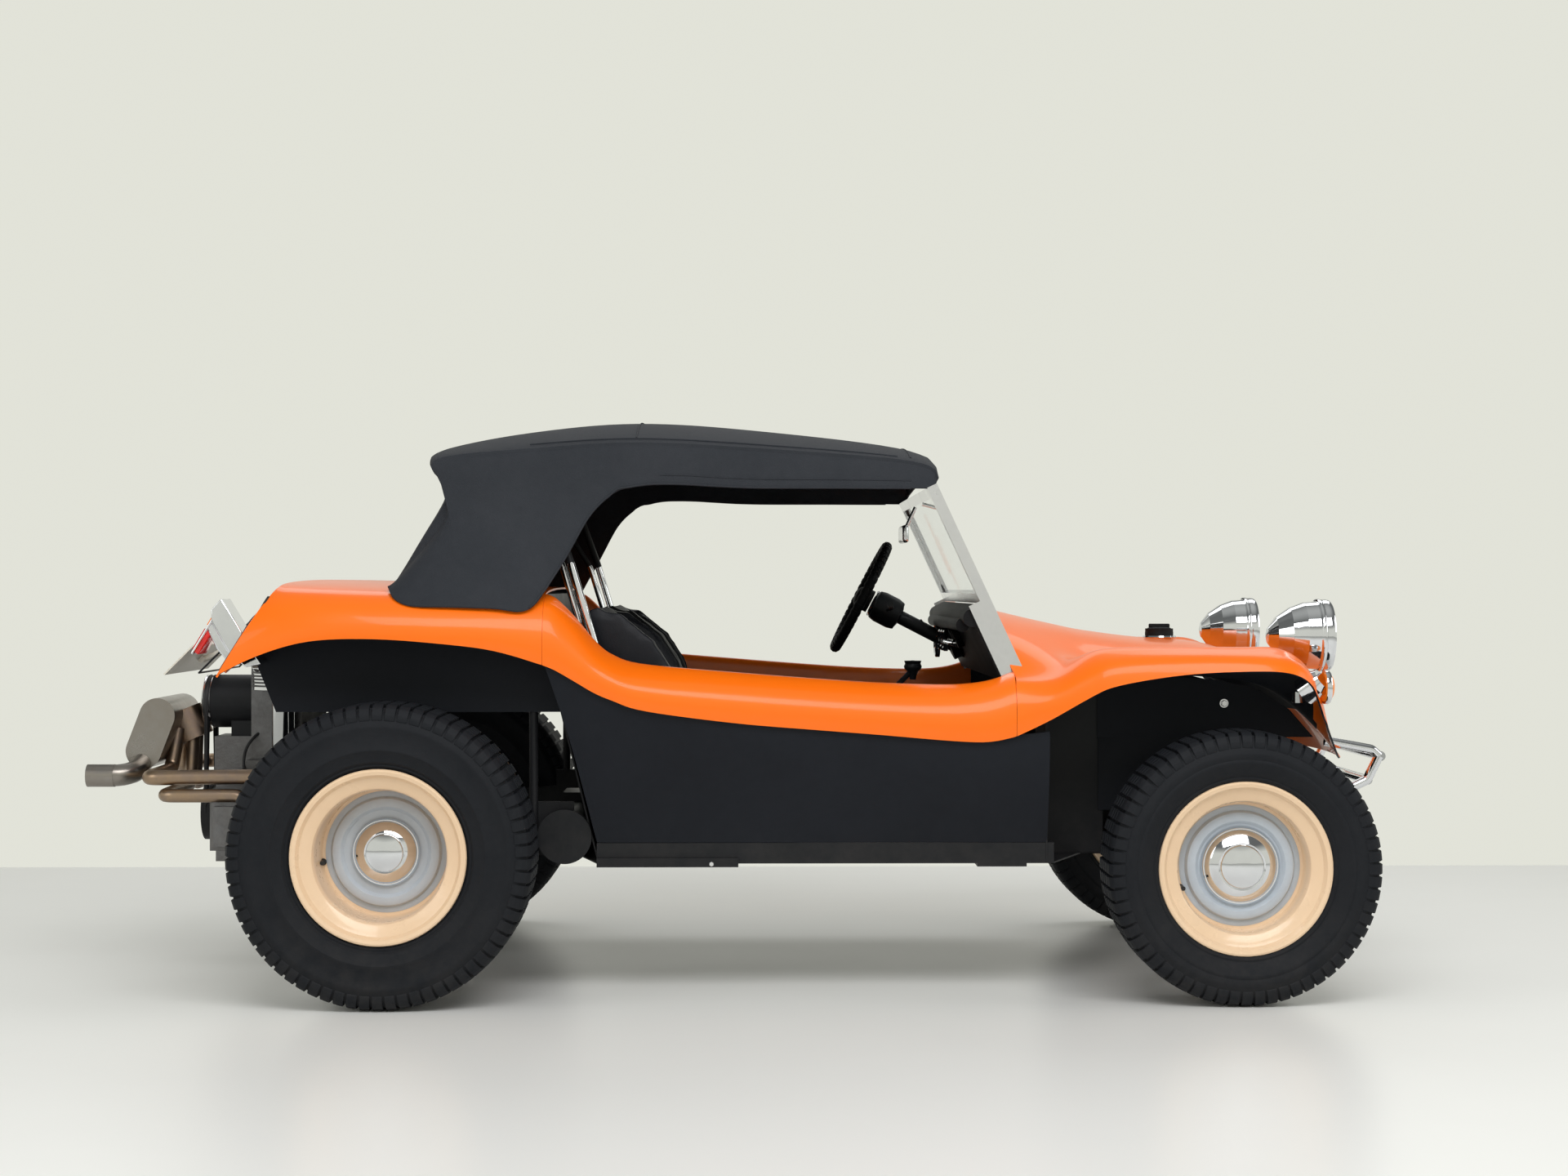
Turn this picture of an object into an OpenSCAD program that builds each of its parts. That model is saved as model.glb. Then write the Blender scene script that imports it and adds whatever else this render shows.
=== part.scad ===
// Open two-seat dune buggy on a shortened floor pan, with a soft top and a rear engine.
// X runs forward, Y to the left and Z up. The ground is Z = 0 and the origin lies on it,
// halfway along the overall length. Inside the modules X is a station: the distance
// forward of the rear axle. place() moves the stations into the model's frame.

/* [Overall] */
// Distance between the axles
wheelbase = 2040; // [1950:10:2450]
// From the rear axle back to the exhaust tip
rear_overhang = 830; // [780:10:900]
// From the front axle forward to the bumper
front_overhang = 450; // [440:10:560]

/* [Wheels] */
// Bead seat diameter of all four rims
rim_d = 381; // [360:1:400]
// Outer diameter of a rear tyre
rear_tyre_d = 720; // [640:2:760]
// Width of a rear tyre
rear_tyre_w = 255; // [210:1:300]
// Outer diameter of a front tyre
front_tyre_d = 652; // [600:2:720]
// Width of a front tyre
front_tyre_w = 215; // [180:1:250]
// Distance between the centre planes of the rear tyres
rear_track = 1445; // [1430:5:1500]
// Distance between the centre planes of the front tyres
front_track = 1396; // [1380:5:1440]
// Depth of the centre disc behind the outer flange, rear rims
rear_dish = 150; // [110:1:160]
// Depth of the centre disc behind the outer flange, front rims
front_dish = 90; // [80:1:100]
// Diameter of the domed hub caps
cap_d = 188; // [150:1:220]

/* [Steering] */
// Distance from the centreline to a kingpin
kingpin_y = 540; // [535:1:550]
// Length of the steering arms and of the drop arm
steer_arm = 110; // [90:1:115]
// Steering wheel diameter
wheel_rim_d = 340; // [300:5:400]
// Thickness of the steering wheel rim
wheel_grip_d = 24; // [18:1:32]

/* [Body] */
// Thickness of the moulded body
skin = 5; // [3:0.5:8]
// Height of the underside of the floor
floor_z = 322; // [300:2:345]
// Height of the sill boxes under the tub
sill_h = 50; // [35:1:65]
// Thickness of the sheet steel floor
floor_t = 4; // [2:0.5:6]
// Width across the sills
sill_w = 1220; // [1180:5:1240]
// Thickness of the soft top
top_t = 5; // [3:0.5:8]
// Diameter of the soft top frame tubes
bow_d = 20; // [14:1:26]

/* [Cabin] */
// Width of each seat
seat_w = 440; // [360:5:500]
// Distance from the centreline to the middle of each seat
seat_y = 330; // [310:5:345]
// Thickness of the seat cushions
cushion_t = 110; // [80:5:130]
// Rake of the windscreen from upright
screen_rake = 25; // [20:1:30]
// Section of the windscreen frame
screen_bar = 26; // [20:1:34]
// Thickness of the windscreen glass
glass_t = 5; // [4:0.5:8]

/* [Running gear] */
// Diameter of the front axle tubes
axle_tube_d = 50; // [40:1:60]
// Distance between the two front axle tubes
axle_tube_gap = 120; // [110:1:130]
// Diameter of the rear torsion housing
torsion_d = 90; // [70:1:110]
// Diameter of the rear axle tubes
rear_tube_d = 76; // [60:1:90]
// Diameter of the exhaust header pipes
header_d = 38; // [30:1:45]
// Outer diameter of the exhaust tip
tip_d = 58; // [50:1:70]
// Wall of the exhaust tip
pipe_t = 2.5; // [1.5:0.5:4]
// Tall section of the oval silencer
silencer_h = 190; // [160:5:220]
// Short section of the oval silencer
silencer_w = 92; // [80:1:110]
// Diameter of the bumper tube
bumper_d = 25; // [20:1:38]
// Diameter of the headlamps
headlamp_d = 178; // [150:1:190]

/* [Hidden] */

$fn = 48;
orange = "#f4741c";
black = "#1c1e22";
cream = "#d9d2bd";
steel = "#c9cbcc";

length_all = rear_overhang + wheelbase + front_overhang;
rear_z = rear_tyre_d/2;
front_z = front_tyre_d/2;
front_y = front_track/2;
rear_y = rear_track/2;
// Wheelbase that the body stations below are drawn for
drawn_wheelbase = 2040;
// Radial clearance of a turning fit
fit = 0.08;
// Radial clearance of the tie rod eyes
eye_fit = 0.6;
seat_gap = 0.4;
// Steering gear heights: arm plates, then the two tie rods above them
arm_z = front_z + 80;
rod_left_z = arm_z + 18;
rod_right_z = arm_z + 36;
tie_d = 15;
column_y = 310;
kingpin_d = 22;
spindle_d = 28;
shaft_d = 32;
rear_rim_w = 222;
front_rim_w = 178;

// Station x in a body that stretches with the wheelbase
function sx(x) = x <= 0 ? x
  : x < drawn_wheelbase ? x*wheelbase/drawn_wheelbase
  : x + wheelbase - drawn_wheelbase;
function fit_pt(p) = [sx(p[0]), p[1], p[2]];
function unit(v) = v/norm(v);
function flip(c) = [for (p = c) [p[0], -p[1], p[2]]];

// Smooth curve through the points c, for u from 0 to 1
function spline(c, u) =
  let (n = len(c) - 1, k = min(n - 1, floor(u*n)), t = u*n - k,
       a = c[max(0, k - 1)], b = c[k], d = c[k + 1], e = c[min(n, k + 2)])
  0.5*(2*b + (d - a)*t + (2*a - 5*b + 4*d - e)*t*t + (3*b - a - 3*d + e)*t*t*t);

// Curves for both sides of the car, from those of the left side and the centre line
function both(curves) =
  concat([for (i = [len(curves) - 1:-1:1]) flip(curves[i])], curves);

module place() { translate([rear_overhang - length_all/2, 0, 0]) children(); }

module both_sides() { children(); mirror([0, 1, 0]) children(); }

// Shell of thickness t laid through a net of curves that run rearmost point first
module shell(curves, nu, nv, t) {
  q = [for (j = [0:nv]) [for (c = curves) spline(c, j/nv)]];
  p = [for (i = [0:nu]) [for (j = [0:nv]) spline(q[j], i/nu)]];
  outer = [for (i = [0:nu], j = [0:nv]) fit_pt(p[i][j])];
  inner = [for (i = [0:nu], j = [0:nv])
    let (du = p[min(nu, i + 1)][j] - p[max(0, i - 1)][j],
         dv = p[i][min(nv, j + 1)] - p[i][max(0, j - 1)])
    fit_pt(p[i][j]) - t*unit(cross(dv, du))];
  m = len(outer);
  w = nv + 1;
  function at(i, j) = i*w + j;
  polyhedron(points = concat(outer, inner), faces = concat(
    [for (i = [0:nu - 1], j = [0:nv - 1], f = [0:1]) f == 0
      ? [at(i, j), at(i + 1, j), at(i + 1, j + 1)]
      : [at(i, j), at(i + 1, j + 1), at(i, j + 1)]],
    [for (i = [0:nu - 1], j = [0:nv - 1], f = [0:1]) f == 0
      ? [m + at(i, j), m + at(i + 1, j + 1), m + at(i + 1, j)]
      : [m + at(i, j), m + at(i, j + 1), m + at(i + 1, j + 1)]],
    [for (i = [0:nu - 1], f = [0:1]) let (a = at(i, 0), d = at(i + 1, 0))
      f == 0 ? [d, a, m + a] : [d, m + a, m + d]],
    [for (i = [0:nu - 1], f = [0:1]) let (b = at(i, nv), c = at(i + 1, nv))
      f == 0 ? [b, c, m + c] : [b, m + c, m + b]],
    [for (j = [0:nv - 1], f = [0:1]) let (a = at(0, j), b = at(0, j + 1))
      f == 0 ? [a, b, m + b] : [a, m + b, m + a]],
    [for (j = [0:nv - 1], f = [0:1]) let (c = at(nu, j + 1), d = at(nu, j))
      f == 0 ? [c, d, m + d] : [c, m + d, m + c]]));
}

// Straight round bar from a to b
module bar(a, b, d) {
  v = b - a;
  translate(a) rotate([0, acos(v[2]/norm(v)), atan2(v[1], v[0])])
    cylinder(h = norm(v), d = d);
}

// Path along the points with every corner rounded to radius r, in steps of 15 degrees
function path(points, r) = let (n = len(points) - 1) concat([points[0]],
  [for (i = [1:1:n - 1]) each let (p = points[i], a = unit(points[i - 1] - p),
    b = unit(points[i + 1] - p), h = acos(a*b)/2, c = p + unit(a + b)*r/sin(h),
    u = unit(p + a*r/tan(h) - c), m = max(2, ceil((180 - 2*h)/15)))
    [for (k = [0:m]) let (g = (180 - 2*h)*k/m) c + r*(cos(g)*u - sin(g)*a)]],
  [points[n]]);

// Frames carried along the path p without twist, from the side direction u
function frames(p, u, i = 0) = i >= len(p) ? [] :
  let (t = unit(p[min(len(p) - 1, i + 1)] - p[max(0, i - 1)]), v = unit(u - (u*t)*t))
  concat([[v, cross(t, v)]], frames(p, v, i + 1));

// Tube of diameter d along the points, with every corner bent to radius r
module run(points, d, r, sides = 16) {
  p = path(points, r);
  n = len(p) - 1;
  t = unit(p[1] - p[0]);
  f = frames(p, abs(t[2]) < 0.9 ? [0, 0, 1] : [0, 1, 0]);
  polyhedron(
    points = [for (i = [0:n], k = [0:sides - 1]) let (g = 360*k/sides)
      p[i] + d/2*(cos(g)*f[i][0] + sin(g)*f[i][1])],
    faces = concat([[for (k = [0:sides - 1]) k]],
      [[for (k = [sides - 1:-1:0]) n*sides + k]],
      [for (i = [0:n - 1], k = [0:sides - 1], h = [0:1])
        let (a = i*sides + k, b = i*sides + (k + 1)%sides)
        h == 0 ? [a, a + sides, b + sides] : [a, b + sides, b]]));
}

// Box between two corners
module block(a, b) { translate(a) cube(b - a); }

// Plate drawn in X and Z, from y0 to y1
module side_plate(points, y0, y1) {
  translate([0, y1, 0]) rotate([90, 0, 0]) linear_extrude(y1 - y0) polygon(points);
}

// ---- Body net: each list is one line along the body, rear end first ----

// Nose, bonnet and front wings
front_net = [
  [[1432, 0, 950], [1586, 0, 914], [1680, 0, 893], [1745, 0, 880], [1900, 0, 860],
   [2050, 0, 850], [2160, 0, 812], [2260, 0, 740], [2345, 0, 655], [2402, 0, 560]],
  [[1437, 280, 942], [1588, 270, 902], [1680, 262, 880], [1745, 256, 865],
   [1900, 250, 842], [2050, 244, 832], [2150, 240, 795], [2235, 238, 730],
   [2320, 240, 650], [2386, 245, 560]],
  [[1460, 490, 892], [1590, 475, 845], [1680, 466, 812], [1745, 460, 797],
   [1900, 450, 775], [2050, 440, 765], [2150, 430, 745], [2225, 420, 705],
   [2295, 410, 640], [2350, 395, 566]],
  [[1508, 612, 786], [1600, 612, 787], [1680, 612, 832], [1745, 612, 846],
   [1900, 612, 846], [2050, 608, 844], [2145, 598, 842], [2215, 575, 805],
   [2262, 545, 730], [2296, 530, 636]],
  [[1508, 664, 757], [1600, 672, 765], [1682, 678, 812], [1745, 682, 832],
   [1900, 684, 838], [2050, 682, 838], [2150, 672, 832], [2215, 648, 795],
   [2256, 610, 730], [2282, 572, 654]],
  [[1508, 690, 700], [1595, 705, 725], [1682, 715, 775], [1745, 722, 803],
   [1900, 726, 818], [2050, 726, 820], [2150, 716, 814], [2212, 694, 785],
   [2246, 652, 732], [2272, 596, 666]],
  [[1508, 688, 634], [1590, 705, 675], [1680, 722, 728], [1745, 735, 757],
   [1900, 742, 783], [2050, 742, 791], [2150, 736, 788], [2206, 716, 764],
   [2235, 675, 725], [2262, 620, 679]]
];

// Left side of the cockpit opening, from the inner flange over the rail to the lower edge
function rail(y, drop) = [for (p = [[374, 975], [403, 962], [452, 912], [497, 858],
    [543, 824], [615, 804], [832, 785], [1010, 771], [1178, 760], [1340, 755],
    [1440, 763], [1508, 786]]) [p[0], y, p[1] - drop]];
function lower_edge(in, up) = [for (p = [[374, 722, 806], [403, 716, 794],
    [452, 706, 765], [497, 700, 738], [543, 697, 719], [615, 694, 695],
    [832, 690, 666], [1010, 689, 651], [1178, 688, 638], [1340, 688, 624],
    [1440, 688, 620], [1508, 688, 634]]) [p[0], p[1] - in, p[2] + up]];
rail_net = let (top = rail(612, 0), low = lower_edge(0, 0), n = len(top) - 1) [
  rail(590, 78), rail(592, 12), top,
  [for (k = [0:n]) [top[k][0], 612 + 0.68*(low[k][1] - 612), top[k][2] - 29]],
  [for (k = [0:n]) [top[k][0], low[k][1] + 2, 0.43*top[k][2] + 0.57*low[k][2]]],
  low
];

// Rear deck and rear wings
rear_net = [
  [[-256, 0, 1012], [-225, 0, 1012], [-140, 0, 1011], [-20, 0, 1008], [130, 0, 1003],
   [260, 0, 998], [374, 0, 992]],
  [[-258, 250, 1010], [-225, 250, 1010], [-140, 250, 1009], [-20, 250, 1006],
   [130, 250, 1001], [260, 250, 996], [374, 250, 990]],
  [[-261, 480, 1005], [-227, 480, 1004], [-142, 480, 1003], [-20, 480, 999],
   [130, 480, 995], [260, 476, 991], [374, 470, 985]],
  [[-265, 640, 994], [-229, 640, 993], [-145, 640, 991], [-20, 640, 987],
   [130, 636, 984], [260, 628, 981], [374, 612, 975]],
  [[-292, 705, 950], [-245, 712, 960], [-152, 715, 964], [-20, 715, 962],
   [130, 710, 958], [260, 702, 952], [374, 687, 946]],
  [[-345, 742, 862], [-272, 748, 885], [-165, 752, 906], [-20, 753, 909],
   [130, 750, 904], [260, 740, 893], [374, 724, 878]],
  [[-392, 748, 783], [-300, 752, 828], [-176, 755, 864], [-20, 756, 869],
   [130, 752, 858], [260, 738, 841], [374, 722, 806]]
];

module front_body() {
  color(orange) place() shell(both(front_net), 36, 27, skin);
}

module side_rails() {
  color(orange) place() both_sides() shell(rail_net, 12, 33, skin);
}

module rear_body() {
  color(orange) place() shell(both(rear_net), 30, 18, skin);
}

// Slanted rear end of the wings, cut out over the engine
module rear_panel() {
  top = [for (c = both(rear_net)) c[0] + [1, 0, -skin - 1]];
  low = [for (p = top) abs(p[1]) < 500 ? [p[0] - 36, p[1], p[2] - 80]
    : [-387, sign(p[1])*(520 + 0.75*(abs(p[1]) - 520)), 792]];
  color(orange) place() shell([low, top], 4, 24, skin);
}

// Black lower side of the tub, from behind the lower edge of the rail down to the sill
module tub_sides() {
  edge = lower_edge(skin + seat_gap + 4, 12);
  n = len(edge) - 1;
  color(black) place() both_sides() shell([
    [for (k = [0:n]) edge[k] + [k == n ? 82 : 0, 0, 0]],
    [for (k = [0:n]) [436 + 1154*k/n, 660, 0.55*edge[k][2] + 170]],
    [for (k = [0:n]) [497 + 1093*k/n, sill_w/2, floor_z + sill_h]]
  ], 6, 22, skin);
}

// Bulkhead behind the front wheels and the footwell ahead of it
module footwell() {
  foot_w = 390;
  front = 1755;
  color(black) place() {
    both_sides() block([sx(1586), foot_w, floor_z + floor_t], [sx(1590), 612, 735]);
    difference() {
      block([sx(1586), -foot_w, floor_z + floor_t], [sx(front), foot_w, 770]);
      block([sx(1570), -foot_w + floor_t, floor_z - 5],
        [sx(front) - floor_t, foot_w - floor_t, 766]);
      bar(on_column(200), on_column(column_len), column_d + 2*seat_gap);
    }
  }
}

// Shortened platform: flat floor, sills, tunnel and frame head
module floor_pan() {
  w = sill_w/2;
  color(black) place() difference() {
    union() {
      translate([0, 0, floor_z]) linear_extrude(floor_t) polygon([
        [sx(430), -380], [sx(497), -w], [sx(1606), -w], [sx(1700), -385], [sx(1760), -385],
        [sx(1900), -120], [sx(1900), 120], [sx(1760), 385], [sx(1700), 385], [sx(1606), w],
        [sx(497), w], [sx(430), 380]]);
      both_sides() {
        block([sx(497), w - 55, floor_z], [sx(1606), w, floor_z + sill_h]);
        block([sx(497), w - 75, floor_z - 8], [sx(840), w + 8, floor_z + 14]);
        block([sx(1420), w - 75, floor_z - 8], [sx(1540), w, floor_z + 4]);
      }
      block([sx(375), -75, floor_z], [sx(1900), 75, floor_z + 130]);
      block([sx(1800), -60, floor_z - 30], [sx(2040) + 150, 60, floor_z + 60]);
    }
    block([sx(380), -71, floor_z + floor_t], [sx(1760), 71, floor_z + 126]);
    both_sides() block([sx(500), w - 51, floor_z + 18], [sx(1602), w - 4, floor_z + sill_h - 4]);
  }
}

// Inner sides of the wheel arches: beside the engine bay, and beside the footwell
module inner_wings() {
  color(black) place() both_sides() {
    side_plate([[-250, 965], [-330, 800], [-285, 688], [sx(406), 688], [sx(379), 800],
      [sx(351), 965]], 567.5, 571.5);
    side_plate([[sx(1740), 615], [sx(2285), 615], [sx(2225), 684], [sx(2150), 734],
      [sx(2050), 758], [sx(1900), 768], [sx(1740), 790]], 390, 394);
  }
}

// Slanted wall behind the seats
module firewall() {
  z0 = floor_z + floor_t;
  color(black) place()
    side_plate([[sx(497), z0], [sx(497) + floor_t, z0], [sx(380) + floor_t, 800],
      [sx(352) + floor_t, 975], [sx(352), 975], [sx(380), 800]], -588, 588);
}

// ---- Windscreen plane: local Z runs up along the posts ----
screen_x = 1508;
screen_z = 786;
screen_h = 494;
post_y = 590;
module on_screen() {
  place() translate([sx(screen_x), 0, screen_z]) rotate([0, -screen_rake, 0]) children();
}

module windscreen_frame() {
  color(steel) on_screen() difference() {
    union() {
      both_sides() {
        block([0, post_y - screen_bar, -6], [screen_bar, post_y + 4, screen_h]);
        block([-30, post_y, -20], [screen_bar, post_y + 4, 190]);
      }
      block([0, -post_y, screen_h - screen_bar], [screen_bar, post_y, screen_h]);
      block([0, -post_y, 184], [screen_bar, post_y, 184 + screen_bar]);
    }
    block([screen_bar/2 - glass_t/2, -post_y + screen_bar - 8, 184 + screen_bar - 8],
      [screen_bar/2 + glass_t/2, post_y - screen_bar + 8, screen_h - screen_bar + 8]);
  }
}

module windscreen() {
  c = seat_gap;
  color("#bcd3d6", 0.35) on_screen()
    block([screen_bar/2 - glass_t/2 + c/4, -post_y + screen_bar - 8 + c, 184 + screen_bar - 8 + c],
      [screen_bar/2 + glass_t/2 - c/4, post_y - screen_bar + 8 - c, screen_h - screen_bar + 8 - c]);
}

module dash() {
  color(black) difference() {
    on_screen() {
      block([-34, -post_y + 2, -8], [-1, post_y - 2, 182]);
      translate([-34, 0, 160]) rotate([90, 0, 0])
        cylinder(h = 2*post_y - 8, d = 44, center = true);
      translate([-34, column_y, 92]) rotate([0, -90, 0]) cylinder(h = 26, d = 118);
      for (y = [110, 190]) translate([-34, y, 96]) rotate([0, -90, 0]) cylinder(h = 16, d = 58);
    }
    column_hole();
  }
}

// ---- Soft top ----
// From the centre line out to the lower edge, rear end first; the third curve is the crease
top_net = [
  [[0, 0, 1012], [52, 0, 1120], [108, 0, 1235], [104, 0, 1288], [62, 0, 1320],
   [92, 0, 1356], [300, 0, 1396], [578, 0, 1422], [900, 0, 1402], [1285, 0, 1352],
   [1342, 0, 1286]],
  [[2, 330, 1010], [54, 332, 1116], [112, 333, 1228], [108, 334, 1276], [66, 334, 1308],
   [98, 333, 1342], [302, 332, 1382], [579, 332, 1406], [900, 330, 1386],
   [1281, 328, 1338], [1338, 328, 1276]],
  [[4, 545, 1004], [62, 550, 1106], [124, 552, 1212], [118, 554, 1262], [86, 555, 1292],
   [122, 553, 1318], [315, 550, 1340], [585, 548, 1357], [900, 548, 1341],
   [1275, 546, 1308], [1332, 546, 1262]],
  [[4, 585, 1002], [66, 588, 1090], [134, 586, 1196], [128, 584, 1240], [98, 582, 1276],
   [142, 580, 1304], [325, 576, 1320], [592, 572, 1337], [900, 572, 1322],
   [1270, 570, 1292], [1326, 570, 1252]],
  [[4, 608, 1000], [68, 604, 1072], [138, 598, 1170], [136, 596, 1216], [118, 594, 1250],
   [165, 591, 1278], [335, 586, 1296], [592, 581, 1312], [900, 581, 1298],
   [1268, 579, 1270], [1322, 579, 1244]],
  [[4, 636, 998], [40, 652, 1028], [98, 648, 1075], [140, 644, 1100], [170, 638, 1112],
   [215, 628, 1130], [355, 608, 1185], [585, 588, 1270], [895, 586, 1266],
   [1266, 585, 1252], [1319, 585, 1238]],
  [[4, 668, 996], [16, 712, 970], [60, 734, 948], [160, 735, 945], [260, 728, 942],
   [345, 714, 940], [412, 650, 1040], [548, 594, 1230], [880, 590, 1233],
   [1262, 589, 1233], [1316, 589, 1232]]
];

module soft_top() {
  color(black) place() shell(both(top_net), 24, 40, top_t);
}

// Bows under the soft top, pivoted on the rails
module top_frame() {
  color(steel) place() both_sides() {
    run([[sx(506), 578, 800], [sx(431), 566, 1048], [sx(330), 520, 1345], [sx(330), 330, 1372],
      [sx(330), 0, 1384]], bow_d, 45);
    run([[sx(480), 562, 810], [sx(408), 548, 1048], [sx(240), 505, 1325], [sx(240), 330, 1362],
      [sx(240), 0, 1374]], bow_d - 4, 45);
    block([sx(470), 552, 790], [sx(520), 590, 815]);
  }
}

// ---- Cabin ----
module seat(y) {
  w = seat_w/2;
  color("#22242a") place() translate([0, y, 0]) {
    side_plate([[sx(560), 400], [sx(1000), 440], [sx(1020), 440 + cushion_t*0.5],
      [sx(990), 440 + cushion_t], [sx(640), 410 + cushion_t], [sx(528), 945],
      [sx(500), 962], [sx(468), 950], [sx(455), 915]], -w, w);
    for (s = [-1, 1]) side_plate([[sx(560), 500], [sx(760), 545], [sx(730), 700], [sx(690), 800],
      [sx(640), 875], [sx(560), 945], [sx(500), 950]], s > 0 ? w - 45 : -w, s > 0 ? w : 45 - w);
    block([sx(600), -w + 60, floor_z + floor_t], [sx(960), w - 60, 442]);
  }
}
module seat_left() { seat(seat_y); }
module seat_right() { seat(-seat_y); }

// Steering column line: from the wheel hub forward and down to the steering box
hub_x = 1177;
hub_z = 965;
column_tilt = 27.3;
column_d = 38;
function on_column(s) = [sx(hub_x) + s*cos(column_tilt), column_y, hub_z - s*sin(column_tilt)];
column_len = (sx(2040) - sx(hub_x))/cos(column_tilt);

// Way for the column through the dash
module column_hole() {
  place() bar(on_column(200), on_column(column_len), column_d + 2*seat_gap);
}

module steering_column() {
  color(black) place() {
    difference() {
      bar(on_column(34), on_column(column_len), column_d);
      bar(on_column(30), on_column(140), shaft_d - 12 + 2*fit);
    }
    difference() {
      bar(on_column(44), on_column(118), 78);
      bar(on_column(30), on_column(140), shaft_d - 12 + 2*fit);
    }
    bar(on_column(170) - [0, 0, 10], on_column(170) + [24, 0, 6], 26);
  }
}

module steering_wheel() {
  color(black) place() translate(on_column(0)) rotate([0, 90 + column_tilt, 0]) {
    rotate_extrude() translate([wheel_rim_d/2 - wheel_grip_d/2, 0]) circle(d = wheel_grip_d);
    for (a = [0, 120, 240]) rotate([0, 0, a])
      block([20, -14, 2], [wheel_rim_d/2 - wheel_grip_d/2, 14, 7]);
    translate([0, 0, -4]) cylinder(h = 36, d = 64);
    cylinder(h = 120, d = shaft_d - 12);
  }
}

module gear_lever() {
  color(black) place() {
    run([[sx(1090), 0, floor_z + 120], [sx(1130), 0, 600], [sx(1302), 0, 772]], 14, 60);
    translate([sx(1302), 0, 770]) cylinder(h = 26, d1 = 30, d2 = 46);
    block([sx(1050), -45, floor_z + 124], [sx(1130), 45, floor_z + 140]);
    run([[sx(900), 0, floor_z + 120], [sx(920), 0, 490], [sx(1090), 0, 545]], 22, 25);
  }
}

module pedals() {
  color(black) place() for (y = [215, 285, 350]) {
    run([[sx(1680), y, floor_z + floor_t], [sx(1650), y, 480]], 12, 10);
    block([sx(1640), y - 26, 455], [sx(1652), y + 26, 520]);
  }
}

module wipers() {
  color(black) on_screen() for (y = [330, -200]) translate([screen_bar + 2, y, 192]) {
    translate([-4, 0, 0]) rotate([0, 90, 0]) cylinder(h = 18, d = 22);
    rotate([20, 0, 0]) block([8, -5, 0], [12, 5, 190]);
    rotate([20, 0, 0]) block([2, -4, 70], [8, 4, 260]);
  }
}

// ---- Front details ----
module front_bumper() {
  x1 = sx(2040) + front_overhang - bumper_d/2;
  low_z = front_z + axle_tube_gap/2 + 114;
  color(steel) place() {
    both_sides() {
      run([[sx(2335), 300, 600], [x1 - 22, 300, 578], [x1 - 4, 300, 561]], bumper_d, 22);
      run([[x1 - 4, 300, 561], [x1 - 34, 300, low_z],
        [sx(2205), 300, front_z + axle_tube_gap/2]], bumper_d, 22);
      bar([x1, 0, 561], [x1, 306, 561], bumper_d);
      bar([x1 - 32, 0, low_z], [x1 - 32, 300, low_z], bumper_d);
    }
  }
}

lamp_x = 2302;
lamp_y = 470;
lamp_z = 872;
module headlamps() {
  r = headlamp_d/2;
  color(steel) place() both_sides() {
    translate([sx(lamp_x), lamp_y, lamp_z]) rotate([0, -90, 0]) rotate_extrude() polygon([
      [0, -8], [r*0.55, -5], [r - 8, 4], [r - 6, 0], [r, 2], [r, 22], [r - 4, 30],
      [r*0.93, 60], [r*0.78, 95], [r*0.52, 128], [r*0.22, 148], [0, 153]]);
    translate([sx(lamp_x) - 70, lamp_y, 0]) bar([0, 0, 705], [0, 0, lamp_z - r*0.7], 34);
  }
}

module front_turn_lamps() {
  color(steel) place() both_sides() translate([sx(2212), 640, 742]) rotate([0, 55, 32])
    translate([0, 0, -6]) {
      cylinder(h = 40, d = 70);
      translate([0, 0, 40]) cylinder(h = 16, d1 = 66, d2 = 52);
    }
}

module filler_cap() {
  color(black) place() translate([sx(1960), 0, 846]) {
    cylinder(h = 24, d = 62);
    translate([0, 0, 22]) cylinder(h = 14, d = 74);
  }
}

// ---- Rear details ----
module tail_lamps() {
  color(steel) place() both_sides() translate([-338, 640, 886]) rotate([0, -31, 0]) {
    side_plate([[-6, -88], [-42, -74], [-58, -20], [-56, 58], [-42, 86], [-6, 96]], -52, 52);
    side_plate([[-50, -62], [-72, -50], [-80, 0], [-76, 52], [-50, 66]], -42, 42);
  }
}

module number_plate() {
  color("#e8e6dc") place() translate([-592, 0, 806]) rotate([0, 45, 0]) {
    block([-2, -260, -52], [2, 260, 52]);
    block([2, -14, -8], [14, 14, 8]);
  }
  color(black) place() run([[-585, 0, 800], [-470, 0, 850], [-282, 0, 934]], 16, 30);
}

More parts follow.
